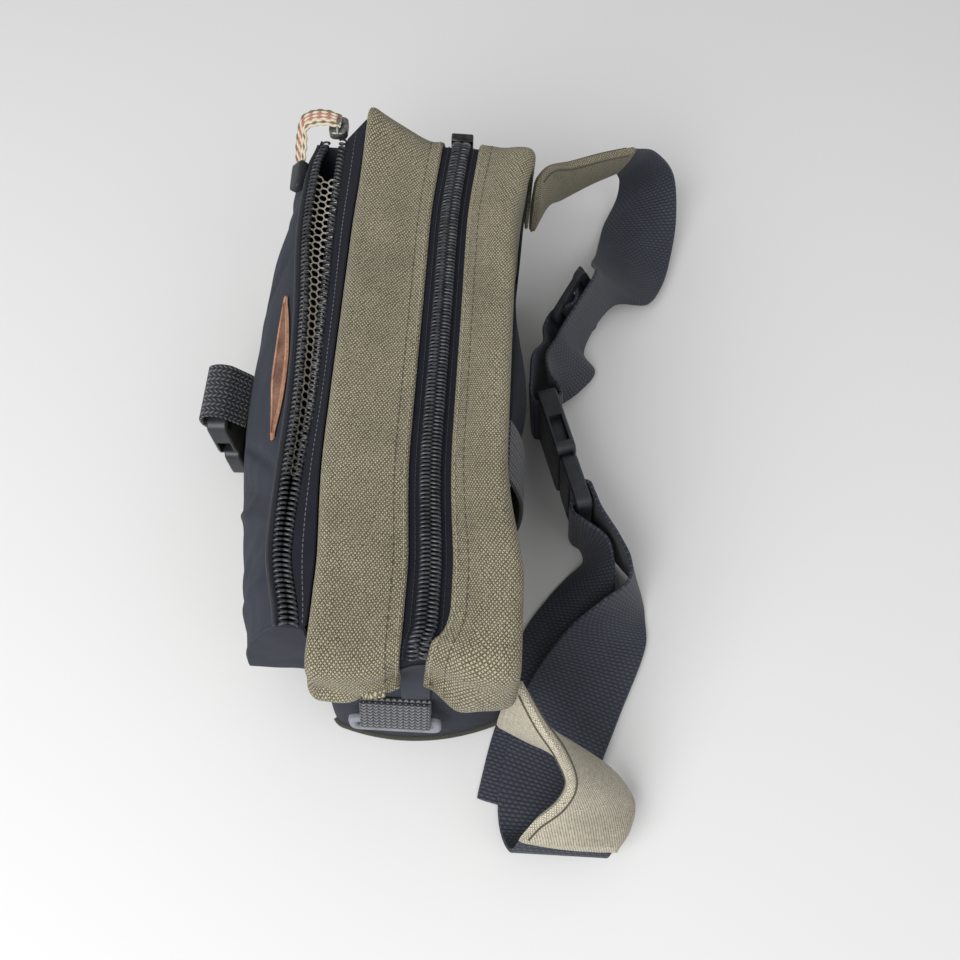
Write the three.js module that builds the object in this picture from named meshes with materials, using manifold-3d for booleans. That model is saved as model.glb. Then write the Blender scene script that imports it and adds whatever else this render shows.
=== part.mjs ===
// Belt bag with two hip wings, a webbing belt, a main zip over the top and a zipped front pocket.
// Millimetres. X runs along the bag, +Y to the wearer's back, +Z up, origin at the middle of the base.
import * as THREE from 'three';
import { mergeVertices } from 'three/addons/utils/BufferGeometryUtils.js';
import Module from 'manifold-3d';

// Cloth, webbing and seams
const CLOTH = 1.6;
const WEBBING = 1.6;
const SEAM_GAP = 0.3;

// Bag body
const HALF_LENGTH = 117;
const HEIGHT = 104;
const SKIN_HEIGHT = HEIGHT - CLOTH - SEAM_GAP;
const HALF_DEPTH = 36;
const EDGE_RADIUS = 4;
const BASE_BULGE = 3.5;
const WAIST_X = 115.5;
const TOP_CORNER = 10;
const END_ROUND = 9;
const END_CENTRE_Y = -5;
const EAR = { rise: 16, out: 5, reach: 20, startY: -9, run: 28 };
const BOW = { depth: 7.4, x: -18, reach: 100, frontShare: 0.4 };
const TOP_SAG = 2;
const BACK_BULGE = 2.5;
const FRONT_BULGE = 2;

// Main zip
const ZIP_Y = 3.5;
const ZIP_OPENING = 16.8;
const TAPE_WIDTH = 22.4;
const TAPE_THICKNESS = 1;
const COIL_WIDTH = 8;
const COIL_HEIGHT = 2;
const TAPE_END_Z = 82.4;
const COIL_END_Z = 85;

// Front pocket
const POCKET_NEAR_X = 101;
const POCKET_FAR_X = -117;
const POCKET_MID_Z = 41;
const POCKET_TUCK = 7;
const POCKET_WALL_Y = -37.5;
const FACING_TOP_Z = 100.5;
const POCKET_COIL_WIDTH = 2.6;
const POCKET_COIL_HEIGHT = 1.8;

// Straps
const BELT_WIDTH = 38;
const TAB_WIDTH = 25;
const WING_PAD = { far: 6, near: 9 };

const wasm = await Module();
wasm.setup();
const bag = new THREE.Group();
const vec = (x, y, z) => new THREE.Vector3(x, y, z);
const lerp = THREE.MathUtils.lerp;
const smooth = THREE.MathUtils.smoothstep;

const FINISHES = {
  khaki: { color: 0x9a8f70, roughness: 0.95, metalness: 0 },
  blackNylon: { color: 0x24262e, roughness: 0.8, metalness: 0 },
  blackWebbing: { color: 0x25272d, roughness: 0.85, metalness: 0 },
  greyWebbing: { color: 0x4a4d52, roughness: 0.85, metalness: 0 },
  zipBlack: { color: 0x1c1d22, roughness: 0.55, metalness: 0 },
  blackPlastic: { color: 0x1e2026, roughness: 0.45, metalness: 0 },
  greyPlastic: { color: 0x70737c, roughness: 0.5, metalness: 0 },
  sliderMetal: { color: 0x85857f, roughness: 0.35, metalness: 0.9 },
  mesh: { color: 0xb5a688, roughness: 0.9, metalness: 0 },
  leather: { color: 0xa6734f, roughness: 0.6, metalness: 0 },
  pullBraid: { color: 0xc9b79a, roughness: 0.9, metalness: 0 },
};

function addPiece(name, geometry, finish) {
  const mesh = new THREE.Mesh(geometry, new THREE.MeshStandardMaterial(FINISHES[finish]));
  mesh.name = name;
  bag.add(mesh);
  return mesh;
}

// Solids from grids of points
function signedVolume(points, triangles) {
  let sum = 0;
  for (let k = 0; k < triangles.length; k += 3) {
    const [a, b, c] = [points[triangles[k]], points[triangles[k + 1]], points[triangles[k + 2]]];
    sum += a.dot(b.clone().cross(c));
  }
  return sum / 6;
}

function closedSolid(points, triangles) {
  if (signedVolume(points, triangles) < 0) {
    for (let k = 0; k < triangles.length; k += 3) {
      [triangles[k + 1], triangles[k + 2]] = [triangles[k + 2], triangles[k + 1]];
    }
  }
  const geometry = new THREE.BufferGeometry();
  const numbers = points.flatMap((p) => p.toArray());
  geometry.setAttribute('position', new THREE.Float32BufferAttribute(numbers, 3));
  geometry.setIndex(triangles);
  return geometry;
}

function gridNormals(grid) {
  const last = grid.length - 1;
  const side = grid[0].length - 1;
  return grid.map((row, i) => row.map((_, j) => {
    const along = grid[Math.min(i + 1, last)][j].clone().sub(grid[Math.max(i - 1, 0)][j]);
    const across = grid[i][Math.min(j + 1, side)].clone().sub(grid[i][Math.max(j - 1, 0)]);
    return along.cross(across).normalize();
  }));
}

// A closed sheet around a grid: `over` thick on the outer side, `under` on the side of the point `inside`.
function slab(grid, { over = 0, under = CLOTH, inside = null }) {
  const normals = gridNormals(grid);
  const mid = [Math.floor(grid.length / 2), Math.floor(grid[0].length / 2)];
  let sign = 1;
  if (inside) {
    const toInside = inside.clone().sub(grid[mid[0]][mid[1]]);
    sign = normals[mid[0]][mid[1]].dot(toInside) > 0 ? -1 : 1;
  }
  const amount = (size, i, j) => (typeof size === 'function' ? size(i, j) : size);
  const columns = grid[0].length;
  const count = grid.length * columns;
  const outer = [];
  const inner = [];
  grid.forEach((row, i) => row.forEach((p, j) => {
    const n = normals[i][j].clone().multiplyScalar(sign);
    outer.push(p.clone().addScaledVector(n, amount(over, i, j)));
    inner.push(p.clone().addScaledVector(n, -amount(under, i, j)));
  }));
  const triangles = [];
  const quad = (a, b, c, d) => triangles.push(a, b, c, a, c, d);
  const at = (i, j) => i * columns + j;
  for (let i = 0; i + 1 < grid.length; i += 1) {
    for (let j = 0; j + 1 < columns; j += 1) {
      quad(at(i, j), at(i + 1, j), at(i + 1, j + 1), at(i, j + 1));
      quad(count + at(i, j), count + at(i, j + 1), count + at(i + 1, j + 1), count + at(i + 1, j));
    }
  }
  const rim = [];
  for (let j = 0; j + 1 < columns; j += 1) rim.push(at(0, j));
  for (let i = 0; i + 1 < grid.length; i += 1) rim.push(at(i, columns - 1));
  for (let j = columns - 1; j > 0; j -= 1) rim.push(at(grid.length - 1, j));
  for (let i = grid.length - 1; i > 0; i -= 1) rim.push(at(i, 0));
  rim.forEach((a, k) => {
    const b = rim[(k + 1) % rim.length];
    quad(a, b, count + b, count + a);
  });
  return closedSolid(outer.concat(inner), triangles);
}

const steps = (count) => Array.from({ length: count + 1 }, (_, k) => k / count);

// A strip of webbing between two edge curves, given as rows { a, b } of matching edge points.
function ribbonGrid(rows, stepsPerRow, across) {
  const edges = ['a', 'b'].map((key) => new THREE.CatmullRomCurve3(rows.map((row) => vec(...row[key]))));
  return steps((rows.length - 1) * stepsPerRow).map((t) => {
    const [a, b] = edges.map((edge) => edge.getPoint(t));
    return steps(across).map((v) => a.clone().lerp(b, v));
  });
}

function ribbon(rows, { thickness = WEBBING, stepsPerRow = 4, across = 1 } = {}) {
  return slab(ribbonGrid(rows, stepsPerRow, across), { over: thickness / 2, under: thickness / 2 });
}

// Smooth reading of one column of a short table, by its x column, which falls from row to row.
function lookup(table, key, x) {
  const last = table.length - 1;
  let k = 0;
  while (k < last - 1 && x < table[k + 1].x) k += 1;
  const [p, q] = [table[k], table[k + 1]];
  const t = THREE.MathUtils.clamp((x - p.x) / (q.x - p.x), 0, 1);
  const before = table[Math.max(k - 1, 0)][key];
  const after = table[Math.min(k + 2, last)][key];
  const [m0, m1] = [(q[key] - before) / 2, (after - p[key]) / 2];
  const [t2, t3] = [t * t, t * t * t];
  const ease = 3 * t2 - 2 * t3;
  return (1 - ease) * p[key] + (t3 - 2 * t2 + t) * m0 + ease * q[key] + (t3 - t2) * m1;
}

// Joins and cuts
function toSolid(geometry) {
  const bare = geometry.index ? geometry.clone() : geometry;
  bare.deleteAttribute('normal');
  bare.deleteAttribute('uv');
  const merged = mergeVertices(bare, 1e-4);
  const mesh = new wasm.Mesh({
    numProp: 3,
    vertProperties: new Float32Array(merged.attributes.position.array),
    triVerts: new Uint32Array(merged.index.array),
  });
  return new wasm.Manifold(mesh);
}

function fromSolid(solid) {
  const { vertProperties, triVerts } = solid.getMesh();
  const geometry = new THREE.BufferGeometry();
  geometry.setAttribute('position', new THREE.Float32BufferAttribute(vertProperties, 3));
  geometry.setIndex(Array.from(triVerts));
  return geometry;
}

function box(width, height, depth, x, y, z) {
  return new THREE.BoxGeometry(width, height, depth).translate(x, y, z);
}

function roundedOutline(Kind, width, height, radius, x = 0, y = 0) {
  const outline = new Kind();
  const [w, h] = [width / 2, height / 2];
  outline.absarc(x + w - radius, y - h + radius, radius, -Math.PI / 2, 0);
  outline.absarc(x + w - radius, y + h - radius, radius, 0, Math.PI / 2);
  outline.absarc(x - w + radius, y + h - radius, radius, Math.PI / 2, Math.PI);
  outline.absarc(x - w + radius, y - h + radius, radius, Math.PI, 1.5 * Math.PI);
  return outline;
}

function plate(outline, thickness, bevel = 0) {
  const geometry = new THREE.ExtrudeGeometry(outline, {
    depth: thickness - 2 * bevel,
    steps: 1,
    curveSegments: 2,
    bevelEnabled: bevel > 0,
    bevelSize: bevel,
    bevelOffset: -bevel,
    bevelThickness: bevel,
    bevelSegments: 1,
  });
  return geometry.translate(0, 0, bevel - thickness / 2);
}

// The body's skin: a loop in the XZ plane, from the middle of the base up the near end and over the top
const skin = new THREE.Path();
skin.moveTo(0, 0);
skin.lineTo(HALF_LENGTH - 8, 0);
skin.bezierCurveTo(HALF_LENGTH, 0, HALF_LENGTH + BASE_BULGE, 5, HALF_LENGTH + BASE_BULGE, 14);
skin.bezierCurveTo(HALF_LENGTH + BASE_BULGE, 34, WAIST_X, 40, WAIST_X, 60);
skin.bezierCurveTo(WAIST_X, 74, HALF_LENGTH, 82, HALF_LENGTH, SKIN_HEIGHT - TOP_CORNER);
skin.quadraticCurveTo(HALF_LENGTH, SKIN_HEIGHT, HALF_LENGTH - TOP_CORNER, SKIN_HEIGHT);
skin.lineTo(TOP_CORNER - HALF_LENGTH, SKIN_HEIGHT);
skin.quadraticCurveTo(-HALF_LENGTH, SKIN_HEIGHT, -HALF_LENGTH, SKIN_HEIGHT - TOP_CORNER);
skin.bezierCurveTo(-HALF_LENGTH, 82, -WAIST_X, 74, -WAIST_X, 60);
skin.bezierCurveTo(-WAIST_X, 40, -HALF_LENGTH - BASE_BULGE, 34, -HALF_LENGTH - BASE_BULGE, 14);
skin.bezierCurveTo(-HALF_LENGTH - BASE_BULGE, 5, -HALF_LENGTH, 0, 8 - HALF_LENGTH, 0);
skin.lineTo(0, 0);
skin.arcLengthDivisions = 400;
const skinLengths = skin.getCurveLengths();
const skinTotal = skinLengths[skinLengths.length - 1];
const baseCornerEnd = skinLengths[1] / skinTotal;
const topCornerStart = skinLengths[3] / skinTotal;
const topCornerEnd = skinLengths[4] / skinTotal;
const BODY_CENTRE = vec(0, 0, HEIGHT / 2);

// How far along the loop the near end reaches the height z.
function nearEndAt(z) {
  let [low, high] = [baseCornerEnd, topCornerStart];
  for (let k = 0; k < 30; k += 1) {
    const middle = (low + high) / 2;
    if (skin.getPointAt(middle).y < z) low = middle;
    else high = middle;
  }
  return low;
}

// The top sinks a little in the middle of its length
const topSag = (x) => TOP_SAG * Math.cos((Math.PI * x) / (2 * HALF_LENGTH));

// The far front corner of the top is drawn up and out into an ear
function earAt(x, y) {
  const across = THREE.MathUtils.clamp((EAR.startY - y) / EAR.run, 0, 1) ** 1.2;
  return across * Math.exp(-(((x + HALF_LENGTH) / EAR.reach) ** 2));
}

// The middle of the bag bows to the front, the wearer's side more than the rest
const bowAt = (x) => BOW.depth * smooth(1 - ((x - BOW.x) / BOW.reach) ** 2, 0, 0.8);
const frontBow = (x) => BOW.frontShare * bowAt(x);

function skinPoint(s, y, depth = 0) {
  const p = skin.getPointAt(s);
  const tangent = skin.getTangentAt(s);
  const x = p.x - tangent.y * depth;
  const z = p.y + tangent.x * depth;
  const nearEnd = smooth(Math.abs(x), 60, HALF_LENGTH);
  const round = END_ROUND * (1 - z / HEIGHT) * ((y - END_CENTRE_Y) / HALF_DEPTH) ** 2 * nearEnd;
  const top = smooth(z, HEIGHT - 30, HEIGHT - 8);
  const ear = top * earAt(x, y);
  const sag = top * topSag(x) * Math.cos((Math.PI * y) / (2.4 * HALF_DEPTH));
  const bow = lerp(frontBow(x), bowAt(x), smooth(y, 8, HALF_DEPTH - EDGE_RADIUS));
  return vec(x - Math.sign(x) * round - EAR.out * ear, y - bow, z + EAR.rise * ear - sag);
}

// Loop positions of a strip that runs over the top between the height z of both ends.
function overTheTop(z, { end = 4, corner = 4, top = 10 } = {}) {
  const start = nearEndAt(z);
  const near = [
    ...steps(end).map((t) => lerp(start, topCornerStart, t)),
    ...steps(corner).slice(1).map((t) => lerp(topCornerStart, topCornerEnd, t)),
  ];
  const middle = steps(top).slice(1, -1).map((t) => lerp(topCornerEnd, 1 - topCornerEnd, t));
  return [...near, ...middle, ...near.map((s) => 1 - s).reverse()];
}

function transpose(columns) {
  return columns[0].map((_, i) => columns.map((column) => column[i]));
}

// Cross sections of the body's panels: y and depth, with the outer edge rolled over
function rolledSection(from, side, halfWidth, depth, columns) {
  const flat = steps(columns).map((t) => ({ y: lerp(from, side * (halfWidth - EDGE_RADIUS), t), depth }));
  const roll = [0.5, 1].map((t) => {
    const angle = (t * Math.PI) / 2;
    return {
      y: side * (halfWidth - EDGE_RADIUS + EDGE_RADIUS * Math.sin(angle)),
      depth: depth + EDGE_RADIUS * (1 - Math.cos(angle)),
    };
  });
  return flat.concat(roll);
}

// Lower hems of the khaki strips on the ends, across the strip from the zip to the outer edge
const FRONT_HEM = [
  { x: 1, z: 88 },
  { x: 0.75, z: 72 },
  { x: 0.5, z: 67 },
  { x: 0.3, z: 82 },
  { x: 0, z: 91 },
];
const BACK_HEM = [
  { x: 1, z: 62 },
  { x: 0.75, z: 66 },
  { x: 0.45, z: 67 },
  { x: 0.25, z: 57.5 },
  { x: 0, z: 68 },
];
const HEM_FLARE = 2.5;

function gusset(name, side, hem) {
  const section = rolledSection(ZIP_Y + (side * ZIP_OPENING) / 2, side, HALF_DEPTH, -(CLOTH + SEAM_GAP), 3);
  const columns = section.map(({ y, depth }, j) => {
    const hemZ = lookup(hem, 'z', j / (section.length - 1));
    const run = overTheTop(hemZ);
    return run.map((s) => {
      const low = 1 - smooth(skin.getPointAt(s).y, hemZ, SKIN_HEIGHT - TOP_CORNER);
      return skinPoint(s, y, depth - HEM_FLARE * low);
    });
  });
  addPiece(name, slab(transpose(columns), { under: CLOTH, inside: BODY_CENTRE }), 'khaki');
}
gusset('gusset_front', -1, FRONT_HEM);
gusset('gusset_back', 1, BACK_HEM);

// Main zip: tape under the strips' edges, and the coil standing on it
function zipStrip(name, width, depth, thickness, endZ) {
  const ys = [-0.5, 0.5].map((t) => ZIP_Y + t * width);
  const grid = overTheTop(endZ).map((s) => ys.map((y) => skinPoint(s, y, depth)));
  addPiece(name, slab(grid, { under: thickness, inside: BODY_CENTRE }), 'zipBlack');
}
zipStrip('main_zip_tape', TAPE_WIDTH, 0, TAPE_THICKNESS, TAPE_END_Z);
zipStrip('main_zip_coil', COIL_WIDTH, -(SEAM_GAP + COIL_HEIGHT), COIL_HEIGHT, COIL_END_Z);

const SLIDER = { width: 9.5, length: 12, height: 4, z: 86 };
const sliderAt = 1 - nearEndAt(SLIDER.z);
const sliderGrid = [0, 0.5, 1].map((t) => [-0.5, 0, 0.5].map((v) => skinPoint(
  sliderAt - (t * SLIDER.length) / skinTotal,
  ZIP_Y + v * SLIDER.width,
  -(COIL_HEIGHT + 4 * SEAM_GAP),
)));
const sliderBlock = slab(sliderGrid, { over: SLIDER.height, under: 0, inside: BODY_CENTRE });
addPiece('main_zip_slider', sliderBlock, 'sliderMetal');

// Base panel: flat underneath, up both ends behind the khaki hems
const BASE_TOP_Z = 82;
const BASE_HALF_DEPTH = HALF_DEPTH - CLOTH - SEAM_GAP;
const baseRun = [
  ...steps(4).map((t) => lerp(nearEndAt(BASE_TOP_Z), baseCornerEnd, t)),
  ...steps(4).slice(1).map((t) => lerp(baseCornerEnd, skinLengths[0] / skinTotal, t)),
  ...steps(4).slice(1).map((t) => lerp(skinLengths[0] / skinTotal, 0.02, t)),
];
const baseLoop = [...baseRun, ...baseRun.map((s) => 1 - s).reverse()];
const baseSection = [
  ...rolledSection(-12, -1, BASE_HALF_DEPTH, 0, 1).reverse(),
  ...rolledSection(10, 1, BASE_HALF_DEPTH, 0, 1),
];
const baseGrid = baseLoop.map((s) => baseSection.map(({ y, depth }) => skinPoint(s, y, depth)));
addPiece('base_panel', slab(baseGrid, { under: CLOTH, inside: BODY_CENTRE }), 'blackNylon');

// Side panels between the strips' edges and the base
const PANEL_LOW_Z = EDGE_RADIUS + 2 * SEAM_GAP;
const PANEL_HIGH_Z = SKIN_HEIGHT - 2.8;
const PANEL_INSET = EDGE_RADIUS + 2;

function panelReach(z) {
  const s = nearEndAt(THREE.MathUtils.clamp(z, 15, SKIN_HEIGHT - TOP_CORNER - 1));
  const t = (z - PANEL_LOW_Z) / (PANEL_HIGH_Z - PANEL_LOW_Z);
  const corner = PANEL_INSET * (smooth(t, 0.85, 1) + smooth(1 - t, 0.85, 1));
  return skinPoint(s, BASE_HALF_DEPTH, PANEL_INSET).x - corner;
}

// Distance of a side panel's outer face from the middle plane, swelling by `bulge`
function panelY(x, z, bulge) {
  const t = (z - PANEL_LOW_Z) / (PANEL_HIGH_Z - PANEL_LOW_Z);
  const u = THREE.MathUtils.clamp(0.5 + x / (2 * panelReach(z)), 0, 1);
  return BASE_HALF_DEPTH + bulge * Math.sin(Math.PI * u) ** 0.6 * Math.max(0, Math.sin(Math.PI * t)) ** 0.8;
}

function sidePanel(name, side, bulge, finish) {
  const rows = [0, 0.08, 0.22, 0.42, 0.62, 0.82, 0.94, 1];
  const grid = rows.map((t) => {
    const z = lerp(PANEL_LOW_Z, PANEL_HIGH_Z, t);
    const reach = panelReach(z);
    return steps(12).map((u) => {
      const x = lerp(-reach, reach, u);
      const top = smooth(z, HEIGHT - 30, HEIGHT - 8);
      const bow = side < 0 ? frontBow(x) : bowAt(x);
      const ear = EAR.rise * earAt(x, side * BASE_HALF_DEPTH);
      return vec(x, side * panelY(x, z, bulge) - bow, z + top * (ear - 0.26 * topSag(x)));
    });
  });
  addPiece(name, slab(grid, { under: CLOTH, inside: BODY_CENTRE }), finish);
}
sidePanel('front_panel', -1, FRONT_BULGE, 'blackNylon');
sidePanel('back_panel', 1, BACK_BULGE, 'khaki');

// Front pocket, row by row along the bag: the two coil rows, the seam below the zip and the widest bulge
const POCKET = [
  { x: 101, backY: -41.2, backZ: 98, frontY: -44.6, frontZ: 98, seamY: -47.2, seamZ: 97, bulgeY: -66 },
  { x: 75, backY: -47.3, backZ: 95.5, frontY: -50.6, frontZ: 95.5, seamY: -53.6, seamZ: 94, bulgeY: -72 },
  { x: 45, backY: -47.6, backZ: 94.8, frontY: -51.9, frontZ: 95, seamY: -55, seamZ: 92.8, bulgeY: -77 },
  { x: 10, backY: -46.6, backZ: 94.3, frontY: -52.2, frontZ: 95, seamY: -55.3, seamZ: 93, bulgeY: -82 },
  { x: -30, backY: -47.2, backZ: 94.5, frontY: -54.6, frontZ: 95.2, seamY: -57.7, seamZ: 93.2, bulgeY: -83 },
  { x: -70, backY: -48.4, backZ: 95, frontY: -58.4, frontZ: 95.5, seamY: -61.5, seamZ: 93, bulgeY: -80 },
  { x: -105, backY: -48.4, backZ: 96, frontY: -58.3, frontZ: 95.5, seamY: -61.4, seamZ: 92.5, bulgeY: -75 },
  { x: -117, backY: -48, backZ: 97.3, frontY: -55.5, frontZ: 95.5, seamY: -58.7, seamZ: 92.5, bulgeY: -71 },
];
const POCKET_INSIDE = vec(0, -55, 45);
const pocketXs = steps(16).map((t) => lerp(POCKET_NEAR_X, POCKET_FAR_X, t));
const pocketAt = (key, x) => lookup(POCKET, key, x);

// Creases pressed into the pocket's upper face: where, how deep, how wide, and how they slant
const CREASES = [
  { x: 38, v: 0.55, depth: 2.6, width: 5, slant: -26 },
  { x: 62, v: 0.6, depth: 2, width: 6, slant: 12 },
  { x: -88, v: 0.5, depth: 1.5, width: 9, slant: 14 },
];

function bezier(p, c, q, t) {
  return (1 - t) ** 2 * p + 2 * t * (1 - t) * c + t ** 2 * q;
}

// The pocket's near end slopes in below its widest bulge
const POCKET_SLOPE = { share: 0.45, startX: 40 };

function slopedX(x, z) {
  const drop = Math.max(0, POCKET_MID_Z - z);
  return x - POCKET_SLOPE.share * drop * smooth(x, POCKET_SLOPE.startX, POCKET_NEAR_X);
}

function pocketFace(x, v) {
  const [seamY, seamZ, bulgeY] = ['seamY', 'seamZ', 'bulgeY'].map((key) => pocketAt(key, x));
  const press = CREASES.reduce((sum, crease) => {
    const along = (x - crease.x - crease.slant * (v - crease.v)) / crease.width;
    return sum + crease.depth * Math.exp(-(along ** 2)) * Math.sin(Math.PI * v);
  }, 0);
  const y = bezier(seamY, (seamY + bulgeY) / 2 - 7, bulgeY, v);
  const z = bezier(seamZ - SEAM_GAP, (seamZ + POCKET_MID_Z) / 2 + 8, POCKET_MID_Z, v);
  return vec(x, y + press * 0.8, z - press * 0.5);
}

function pocketSkirt(x, v) {
  const bulgeY = pocketAt('bulgeY', x);
  const low = CLOTH + 0.2 + SEAM_GAP;
  const y = bezier(bulgeY, bulgeY - 4, bulgeY + POCKET_TUCK, v);
  const z = bezier(POCKET_MID_Z - SEAM_GAP, POCKET_MID_Z / 2, low, v);
  return vec(slopedX(x, z), y, z);
}
const pocketPanel = (surface, columns) => slab(
  pocketXs.map((x) => steps(columns).map((v) => surface(x, v))),
  { under: CLOTH, inside: POCKET_INSIDE },
);
addPiece('pocket_top', pocketPanel(pocketFace, 6), 'blackNylon');
addPiece('pocket_front', pocketPanel(pocketSkirt, 4), 'khaki');

const bottomGrid = pocketXs.map((x) => [pocketAt('bulgeY', x) + POCKET_TUCK, POCKET_WALL_Y - frontBow(x)]
  .map((y) => vec(slopedX(x, 0), y, 0)));
addPiece('pocket_bottom', slab(bottomGrid, { under: CLOTH + 0.2, inside: POCKET_INSIDE }), 'blackNylon');

// Ends of the pocket, from its outline straight back to the bag
function pocketEnd(name, x) {
  const rim = [
    ...steps(5).map((v) => pocketFace(x, v)),
    ...steps(4).slice(1).map((v) => pocketSkirt(x, v)),
  ];
  const grid = rim.map((p) => {
    const z = Math.min(p.z, pocketAt('backZ', x) - 3);
    return [p, vec(slopedX(x, z), POCKET_WALL_Y - 1, z)];
  });
  const sides = { over: CLOTH + SEAM_GAP, under: -SEAM_GAP, inside: POCKET_INSIDE };
  addPiece(name, slab(grid, sides), 'blackNylon');
}
pocketEnd('pocket_end_near', POCKET_NEAR_X);
pocketEnd('pocket_end_far', POCKET_FAR_X);

// Pocket zip, unzipped: facing, two coil rows and the front tape
const half = POCKET_COIL_WIDTH / 2;
const zipRows = (fromEdge, toEdge) => pocketXs.map((x) => ({ a: fromEdge(x), b: toEdge(x) }));
const backRow = (shift, lift) => (x) => [x, pocketAt('backY', x) + shift, pocketAt('backZ', x) + lift];
const frontRow = (shift, lift) => (x) => [x, pocketAt('frontY', x) + shift, pocketAt('frontZ', x) + lift];
const facingY = -(HALF_DEPTH + SEAM_GAP + TAPE_THICKNESS / 2);
const facingEar = (x) => 0.6 * EAR.rise * earAt(x, -HALF_DEPTH);
const facingTop = (x) => [x, facingY - frontBow(x), FACING_TOP_Z - 0.26 * topSag(x) + facingEar(x)];
const seamRow = (x) => [x, pocketAt('seamY', x), pocketAt('seamZ', x) + 0.2];
const tape = { thickness: TAPE_THICKNESS, stepsPerRow: 1 };
const coil = { thickness: POCKET_COIL_HEIGHT, stepsPerRow: 1 };
const facingRows = zipRows(facingTop, backRow(half + 3 * SEAM_GAP, 0.4));
const frontTapeRows = zipRows(frontRow(-half - 2.5 * SEAM_GAP, 0), seamRow);
addPiece('pocket_tape_back', ribbon(facingRows, tape), 'blackNylon');
addPiece('pocket_coil_back', ribbon(zipRows(backRow(half, 0), backRow(-half, 0)), coil), 'zipBlack');
addPiece('pocket_coil_front', ribbon(zipRows(frontRow(half, 0), frontRow(-half, 0)), coil), 'zipBlack');
addPiece('pocket_tape_front', ribbon(frontTapeRows, tape), 'blackNylon');

// Slider at the far end of the pocket zip, with its braided pull and moulded tip
const POCKET_SLIDER = { length: 10, width: 8, height: 4, x: -118.5, y: -49.6, z: 102.6 };
const sliderOutline = roundedOutline(THREE.Shape, POCKET_SLIDER.length, POCKET_SLIDER.width, 2.5);
const pocketSlider = addPiece('pocket_slider', plate(sliderOutline, POCKET_SLIDER.height), 'sliderMetal');
pocketSlider.position.set(POCKET_SLIDER.x, POCKET_SLIDER.y, POCKET_SLIDER.z);

const PULL = [
  { a: [-122, -48.5, 106], b: [-115.5, -48.5, 106] },
  { a: [-123.5, -54, 107], b: [-116.5, -54, 106] },
  { a: [-125, -60, 105.5], b: [-118, -60, 103.5] },
  { a: [-124.5, -66, 102], b: [-118, -64, 100.5] },
  { a: [-116, -68.2, 96.3], b: [-114, -63.6, 98.6] },
  { a: [-107.5, -67.9, 90.4], b: [-106.3, -63.9, 95.2] },
];
addPiece('zip_pull', ribbon(PULL, { thickness: 1.8, stepsPerRow: 3 }), 'pullBraid');
const tipStart = PULL[PULL.length - 1];
const TIP_LENGTH = 13;
const tipAcross = vec(...tipStart.b).sub(vec(...tipStart.a)).normalize();
const tipAlong = vec(11.5, -0.6, -2.6).normalize();
const tipRows = [0.04, 0.3, 0.75, 1].map((t) => {
  const spread = 0.7 - 1.6 * Math.max(0, t - 0.5);
  const shift = tipAlong.clone().multiplyScalar(t * TIP_LENGTH);
  return {
    a: vec(...tipStart.a).add(shift).addScaledVector(tipAcross, -spread).toArray(),
    b: vec(...tipStart.b).add(shift).addScaledVector(tipAcross, spread).toArray(),
  };
});
addPiece('zip_pull_tip', ribbon(tipRows, { thickness: 4, stepsPerRow: 1, across: 2 }), 'blackPlastic');

// Net pocket hung across the mouth from the seam below the front coil row: square cells, each pierced by a
// four-sided gap
const NET = { nearX: 40, farX: -104, thickness: 1, sag: 2 };
const NET_EDGES = { frontIn: 1.2, frontDown: 2.6, backIn: 1, backDown: 8 };
const CELLS = { rows: 2, columns: 18, gap: 0.36 };

function netPoint(u, v) {
  const x = lerp(NET.nearX, NET.farX, u / CELLS.columns);
  const t = v / CELLS.rows;
  const y = lerp(pocketAt('seamY', x) + NET_EDGES.frontIn, pocketAt('backY', x) + NET_EDGES.backIn, t);
  const z = lerp(pocketAt('seamZ', x) - NET_EDGES.frontDown, pocketAt('backZ', x) - NET_EDGES.backDown, t);
  return vec(x, y, z - NET.sag * Math.sin(Math.PI * t));
}

function netSolid() {
  const points = [];
  const triangles = [];
  const seen = new Map();
  const pointAt = (u, v, side) => {
    const key = `${u.toFixed(3)} ${v.toFixed(3)} ${side}`;
    if (!seen.has(key)) {
      const across = netPoint(u, v + 0.1).sub(netPoint(u, v - 0.1));
      const normal = netPoint(u + 0.1, v).sub(netPoint(u - 0.1, v)).cross(across).normalize();
      seen.set(key, points.push(netPoint(u, v).addScaledVector(normal, (side * NET.thickness) / 2)) - 1);
    }
    return seen.get(key);
  };
  const face = (corners) => {
    const front = corners.map(([u, v]) => pointAt(u, v, 1));
    const back = corners.map(([u, v]) => pointAt(u, v, -1));
    triangles.push(front[0], front[1], front[2], back[0], back[2], back[1]);
  };
  const wall = (from, to) => {
    const [a, b] = [pointAt(...from, 1), pointAt(...to, 1)];
    const [c, d] = [pointAt(...to, -1), pointAt(...from, -1)];
    triangles.push(a, c, b, a, d, c);
  };
  for (let column = 0; column < CELLS.columns; column += 1) {
    for (let row = 0; row < CELLS.rows; row += 1) {
      const corners = [[column, row], [column + 1, row], [column + 1, row + 1], [column, row + 1]];
      const [u, v] = [column + 0.5, row + 0.5];
      const gap = [[u, v - CELLS.gap], [u + CELLS.gap, v], [u, v + CELLS.gap], [u - CELLS.gap, v]];
      corners.forEach((corner, k) => {
        const next = (k + 1) % 4;
        face([corner, corners[next], gap[k]]);
        face([corners[next], gap[next], gap[k]]);
        wall(gap[next], gap[k]);
      });
      if (row === 0) wall(corners[0], corners[1]);
      if (column === CELLS.columns - 1) wall(corners[1], corners[2]);
      if (row === CELLS.rows - 1) wall(corners[2], corners[3]);
      if (column === 0) wall(corners[3], corners[0]);
    }
  }
  return closedSolid(points, triangles);
}
addPiece('pocket_mesh', netSolid(), 'mesh');

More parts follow.
